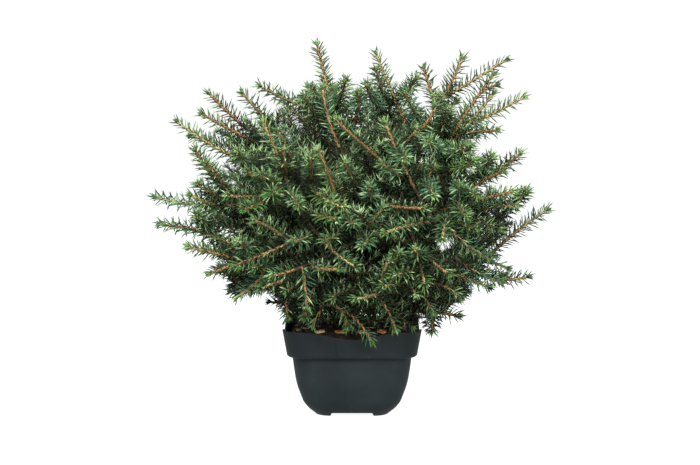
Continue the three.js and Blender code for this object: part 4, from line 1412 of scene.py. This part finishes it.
# Pot

def square_ring(half, corner, height, dip=None, inset=0):
    """Ring of a square with round corners, with stations along each side at shares of its flat."""
    flat = half - corner
    along = SIDE_SHARES * flat
    heights = np.full(len(along), float(height)) + (0 if dip is None else dip(along, flat))
    side = np.stack([along, np.broadcast_to(-half + inset, along.shape), heights], 1)
    angles = TAU / 4 * np.arange(1, CORNER_POINTS) / CORNER_POINTS
    level = np.full(len(angles), float(height))
    bow = np.stack([flat + corner * np.sin(angles), -flat - corner * np.cos(angles), level], 1)
    quarter = np.vstack([side, bow])
    turns = [(math.cos(turn), math.sin(turn)) for turn in TAU / 4 * np.arange(4)]
    return np.vstack([quarter @ np.array([[c, s, 0], [-s, c, 0], [0, 0, 1]]) for c, s in turns])


def level_rings(levels, steps):
    return [square_ring(half, corner, height) for height, half, corner in smooth_levels(levels, steps)]


def scallop(along, flat):
    """Height of the rim, which dips in the middle of each side."""
    share = np.minimum(1, abs(along) / SCALLOP_HALF_WIDTH)
    return -SCALLOP_DEPTH * 0.5 * (1 + np.cos(math.pi * share))


def part_scallop(amount):
    return lambda along, flat: amount * scallop(along, flat)


def smooth_levels(levels, steps):
    """Levels with smooth ones between them."""
    levels = np.array(levels, float)
    padded = np.vstack([2 * levels[0] - levels[1], levels, 2 * levels[-1] - levels[-2]])
    out = []
    for index in range(1, len(padded) - 2):
        a, b, c, d = padded[index - 1:index + 3]
        for t in np.arange(steps) / steps:
            square = (2 * a - 5 * b + 4 * c - d) * t**2
            cube = (3 * b - a - 3 * c + d) * t**3
            out.append(0.5 * (2 * b + (c - a) * t + square + cube))
    out.append(levels[-1])
    return out


def panel_grooves():
    """How far each point of a side lies back in the two grooves beside the collar's middle panel."""
    off = abs(abs(SIDE_SHARES) - GROOVE_SHARE)
    low, high = GROOVE_STEPS[2:]
    return GROOVE_DEPTH * np.clip((high - off) / (high - low), 0, 1)


def foot_dip(along, flat):
    """Height of the underside: down at the feet, up between them, with sloping flanks."""
    return FOOT_HEIGHT * np.clip((flat - abs(along)) / NOTCH_FLANK, 0, 1)


def foot_rings():
    """Rings of the underside, from inside the feet to their outer edge."""
    half, corner = FOOT_HALF - FOOT_WIDTH, FOOT_CORNER - FOOT_WIDTH
    return [
        square_ring(half - FOOT_BEVEL, corner, FOOT_HEIGHT),
        square_ring(half, corner, FOOT_BEVEL * 0.5, foot_dip),
        square_ring(half + FOOT_BEVEL, corner + FOOT_BEVEL * 0.5, 0, foot_dip),
        square_ring(FOOT_HALF - FOOT_BEVEL, FOOT_CORNER - FOOT_BEVEL * 0.5, 0, foot_dip),
        square_ring(FOOT_HALF, FOOT_CORNER, FOOT_BEVEL * 0.4, foot_dip),
    ]


def collar_rings():
    """Rings from the body's top, out under the collar and up its face."""
    body_top, body_half, _ = BODY_LEVELS[-1]
    foot_height, foot_half, foot_corner = COLLAR_FOOT
    collar_height, collar_half, collar_corner = COLLAR_LEVEL
    rings = []
    for share, lift in COLLAR_UNDERSIDE:
        half = body_half + share * (foot_half - body_half)
        rings.append(square_ring(half, foot_corner, body_top + lift * (foot_height - body_top)))
    for share in COLLAR_TURN:
        half = foot_half + math.sin(share * TAU / 4) * (collar_half - foot_half)
        rings.append(square_ring(half, foot_corner, foot_height + share * (collar_height - foot_height)))
    for share in np.linspace(0, 1, COLLAR_RINGS):
        height = collar_height + share * (POT_HEIGHT - RIM_EDGE - collar_height)
        half = collar_half + share * (RIM_LEVEL[1] - collar_half)
        corner = collar_corner + share * (RIM_LEVEL[2] - collar_corner)
        groove = panel_grooves() * (1 - share**GROOVE_FADE)
        rings.append(square_ring(half, corner, height, part_scallop(share**2), groove))
    return rings


def inside_rings():
    """Rings from the lip down the inside of the wall to the floor."""
    rings = [square_ring(half, corner, POT_HEIGHT - below, scallop) for half, corner, below in RIM_LIP]
    foot_height, foot_half, _ = COLLAR_FOOT
    for share in WALL_SHARES:
        height = POT_HEIGHT + share * (foot_height - POT_HEIGHT)
        half = RIM_INSIDE + share * (foot_half - POT_WALL - RIM_INSIDE)
        rings.append(square_ring(half, WALL_CORNER - share, height, part_scallop((1 - share) ** 2)))
    inside = [(height, half - POT_WALL, corner - POT_WALL) for height, half, corner in BODY_LEVELS[:0:-1]]
    rings += level_rings(inside, INSIDE_STEPS)
    rings.append(square_ring(FLOOR_LEVEL[1], FLOOR_LEVEL[2], FLOOR_LEVEL[0]))
    return rings


def make_pot(material):
    rings = foot_rings() + level_rings(BODY_LEVELS, BODY_STEPS) + collar_rings() + inside_rings()
    points = np.vstack([*rings, [0, 0, FOOT_HEIGHT], [0, 0, FLOOR_LEVEL[0]]])
    pot = closed_piece("pot_shell", points, len(rings[0]), material, "pot")
    pot.data.set_sharp_from_angle(angle=SHARP_ANGLE)


# Soil

def soil_edge():
    """Half width and corner radius of the soil where it meets the pot's wall."""
    body_top, body_half, body_corner = BODY_LEVELS[-1]
    share = (SOIL_LEVELS[0][1] - body_top) / (POT_HEIGHT - body_top)
    half = body_half + (RIM_LEVEL[1] - body_half) * share - SOIL_INSET
    return half, body_corner + (RIM_LEVEL[2] - body_corner) * share - SOIL_INSET


def mound_height(share):
    shares, heights = zip(*SOIL_LEVELS[::-1])
    return np.interp(share, [0, *shares], [SOIL_TOP, *heights])


def mound_ring(share):
    """Ring of the mound's surface at a share of its width, with lumps and grains."""
    edge_half, edge_corner = soil_edge()
    points = square_ring(edge_half * share, edge_corner * share, 0)
    points[:, 2] = mound_height(share)
    lumps = lattice_noise(points, SOIL_LUMP_SIZE, seed=21) - 0.5
    grains = lattice_noise(points, SOIL_GRAIN_SIZE, seed=23) - 0.5
    relief = SOIL_LUMP_HEIGHT * lumps + SOIL_GRAIN_HEIGHT * grains
    points[:, 2] += min(1, SOIL_EDGE_CALM * (1 - share)) * relief
    return points


def make_soil(material):
    floor = FLOOR_LEVEL[0] + CLEARANCE
    rings = [square_ring(FLOOR_LEVEL[1] - 2 * CLEARANCE, FLOOR_LEVEL[2], floor)]
    for height, half, corner in BODY_LEVELS[1:]:
        rings.append(square_ring(half - SOIL_INSET, corner - SOIL_INSET, height))
    rings += [mound_ring(share) for share in SOIL_SHARES]
    points = np.vstack([*rings, [0, 0, floor], [0, 0, SOIL_TOP]])
    closed_piece("soil_mound", points, len(rings[0]), material, "soil")


def lump_corners():
    """Corners of a regular body of twenty faces."""
    golden = (1 + 5**0.5) / 2
    pairs = [(a, b) for a in (-1, 1) for b in (-golden, golden)]
    return np.array([corner for a, b in pairs for corner in ((0, a, b), (a, b, 0), (b, 0, a))])


def lump_faces():
    """Faces of that body, which join each three corners that lie an edge apart."""
    corners = lump_corners()
    faces = []
    for i, j, k in itertools.combinations(range(len(corners)), 3):
        a, b, c = corners[[i, j, k]]
        if max(np.linalg.norm(a - b), np.linalg.norm(b - c), np.linalg.norm(c - a)) < LUMP_EDGE:
            outward = np.dot(np.cross(b - a, c - a), a) > 0
            faces.append((i, j, k) if outward else (i, k, j))
    return np.array(faces)


def turned(points, angle, tilt):
    """Points tilted about the first axis and then turned about the upright one."""
    c, s = math.cos(angle), math.sin(angle)
    spin = np.array([[c, -s, 0], [s, c, 0], [0, 0, 1]])
    c, s = math.cos(tilt), math.sin(tilt)
    lean = np.array([[1, 0, 0], [0, c, -s], [0, s, c]])
    return points @ (spin @ lean).T


def soil_spot():
    """A random place on the mound, clear of the trunk."""
    edge_half, _ = soil_edge()
    while True:
        x, y = (random.random(2) * 2 - 1) * edge_half * SOIL_SPAN
        if abs(x) + abs(y) < edge_half * SOIL_CORNERS and math.hypot(x, y) > TRUNK_ROOM:
            return np.array([x, y, mound_height(max(abs(x), abs(y)) / edge_half)])


def add_lump(pile, faces, size, tilt, lift, finishes, dark_share):
    """A rough lump at a random place on the soil, in the darker or the paler of two finishes."""
    corners = unit(lump_corners())
    corners = corners * (1 + LUMP_ROUGHNESS * random.normal(0, 1, (len(corners), 1)))
    lump = turned(corners * np.array(size), TAU * random.random(), random.normal(0, tilt))
    points = lump + soil_spot() + [0, 0, lift]
    dark, pale = finishes
    pile.add(points, faces, dark if random.random() < dark_share else pale)


def make_crumbs(materials):
    crumbs = Pile()
    faces = lump_faces()
    for _ in range(CRUMB_COUNT):
        size = CRUMB_LEAST + CRUMB_SPREAD * random.random() ** 2
        add_lump(crumbs, faces, size * CRUMB_SHAPE, CRUMB_TILT, 0, (0, 1), DARK_CRUMBS)
    for _ in range(SHRED_COUNT):
        length = SHRED_LEAST + SHRED_SPREAD * random.random()
        size = (length, length * SHRED_WIDTH, SHRED_THICKNESS)
        add_lump(crumbs, faces, size, SHRED_TILT, SHRED_THICKNESS, (2, 3), DARK_SHREDS)
    crumbs.piece("soil_crumbs", materials, "soil", [], smooth=False)


def chip_ring(index, height, shrink):
    """Ragged ring of a chip, between an oval and a rectangle."""
    _, length, width = CHIPS[index]
    angles = TAU * np.arange(CHIP_SIDES) / CHIP_SIDES
    across, along = np.cos(angles), np.sin(angles)
    wander = np.stack([across * CHIP_RAG_REACH, along * CHIP_RAG_REACH, angles * 0 + index + height], 1)
    ragged = 1 + CHIP_RAGGEDNESS * lattice_noise(wander, 1, seed=31)
    box_like = 1 / np.maximum(abs(across), abs(along)) ** CHIP_SQUARENESS
    x = length / 2 * shrink * ragged * box_like * across * CHIP_FIT
    y = width / 2 * shrink * ragged * box_like * along * CHIP_FIT
    z = height + CHIP_WAVE * np.sin(x * CHIP_WAVE_STEP + index)
    return np.stack([x, y, z], 1)


def make_chips(materials):
    """Fine bark chips in the places of the plain ones, with their slope."""
    for index, (degrees, _, _) in enumerate(CHIPS):
        name = f"bark_chip_{index + 1:02d}"
        low, high = (np.array(corner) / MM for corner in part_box(name))
        centre, size = (low + high) / 2, high - low
        slope = math.atan2(size[2] - CHIP_THICKNESS, size[1])
        rings = [chip_ring(index, height, shrink) for height, shrink in CHIP_RINGS]
        flat = turned(np.vstack([*rings, *CHIP_MIDDLES]), math.radians(degrees), 0)
        points = turned(flat, 0, slope) + centre
        closed_piece(f"chip_{index + 1:02d}", points, CHIP_SIDES, materials[index % 2], name)


# Studio

def link_object(name, data):
    linked = bpy.data.objects.new(name, data)
    bpy.context.scene.collection.objects.link(linked)
    return linked


def add_light(name, place, aim, size, power):
    light = bpy.data.lights.new(name, "AREA")
    light.shape = "DISK"
    light.size = size
    light.energy = power
    lamp = link_object(name, light)
    lamp.location = place
    lamp.rotation_euler = (Vector(aim) - Vector(place)).to_track_quat("-Z", "Y").to_euler()


def make_floor(material):
    """White ground that glows, so that it is as white as the sky behind the needles; the glow is painted
    light that washes out the shadows on it.
    """
    shader = material.node_tree.nodes["Principled BSDF"]
    shader.inputs["Emission Color"].default_value = FLOOR_TINT
    shader.inputs["Emission Strength"].default_value = FLOOR_GLOW
    mesh = bpy.data.meshes.new("floor")
    corners = [(-1, -1), (1, -1), (1, 1), (-1, 1)]
    mesh.from_pydata([(x * FLOOR_HALF, y * FLOOR_HALF, 0) for x, y in corners], [], [(0, 1, 2, 3)])
    mesh.materials.append(material)
    floor = link_object("floor", mesh)


def make_studio():
    world = bpy.data.worlds.new("studio")
    world.use_nodes = True
    background = world.node_tree.nodes["Background"]
    background.inputs["Color"].default_value = (1, 1, 1, 1)
    background.inputs["Strength"].default_value = WORLD_STRENGTH
    bpy.context.scene.world = world
    bpy.context.scene.view_settings.view_transform = "Standard"
    for light in LIGHTS:
        add_light(*light)


def make_camera():
    camera = bpy.data.cameras.new("camera")
    camera.sensor_width = SENSOR_WIDTH
    camera.lens = FOCAL_PIXELS / FRAME_SIZE[0] * SENSOR_WIDTH
    camera.shift_y = FRAME_SHIFT / FRAME_SIZE[0]
    camera.clip_start, camera.clip_end = CLIP_RANGE
    viewer = link_object("camera", camera)
    viewer.location = CAMERA_PLACE * MM
    viewer.rotation_euler = (TAU / 4 - CAMERA_PITCH, 0, 0)
    bpy.context.scene.camera = viewer


make_camera()
crown = Crown()
thicket = Thicket(crown)
thicket.grow_shown()
thicket.grow_whorls()
thicket.grow_laterals()
thicket.fill()

needle_materials = [make_material(name, tones, *NEEDLE_FINISH) for name, tones in NEEDLE_LOOKS.items()]
twig_materials = [make_material(name, tones, *TWIG_FINISH) for name, tones in TWIG_LOOKS.items()]
looks = {name: make_material(name, *look) for name, look in LOOKS.items()}

groups = make_needles(thicket.shoots, needle_materials)
make_twigs(thicket.shoots, groups, twig_materials)
make_bark(crown, [looks["trunk_bark"], looks["bough_bark"]])
make_pot(looks["pot_plastic"])
make_soil(looks["soil"])
make_crumbs([looks[name] for name in CRUMB_LOOKS])
make_chips([looks["chip_pale"], looks["chip_orange"]])
make_floor(looks["floor"])
make_studio()
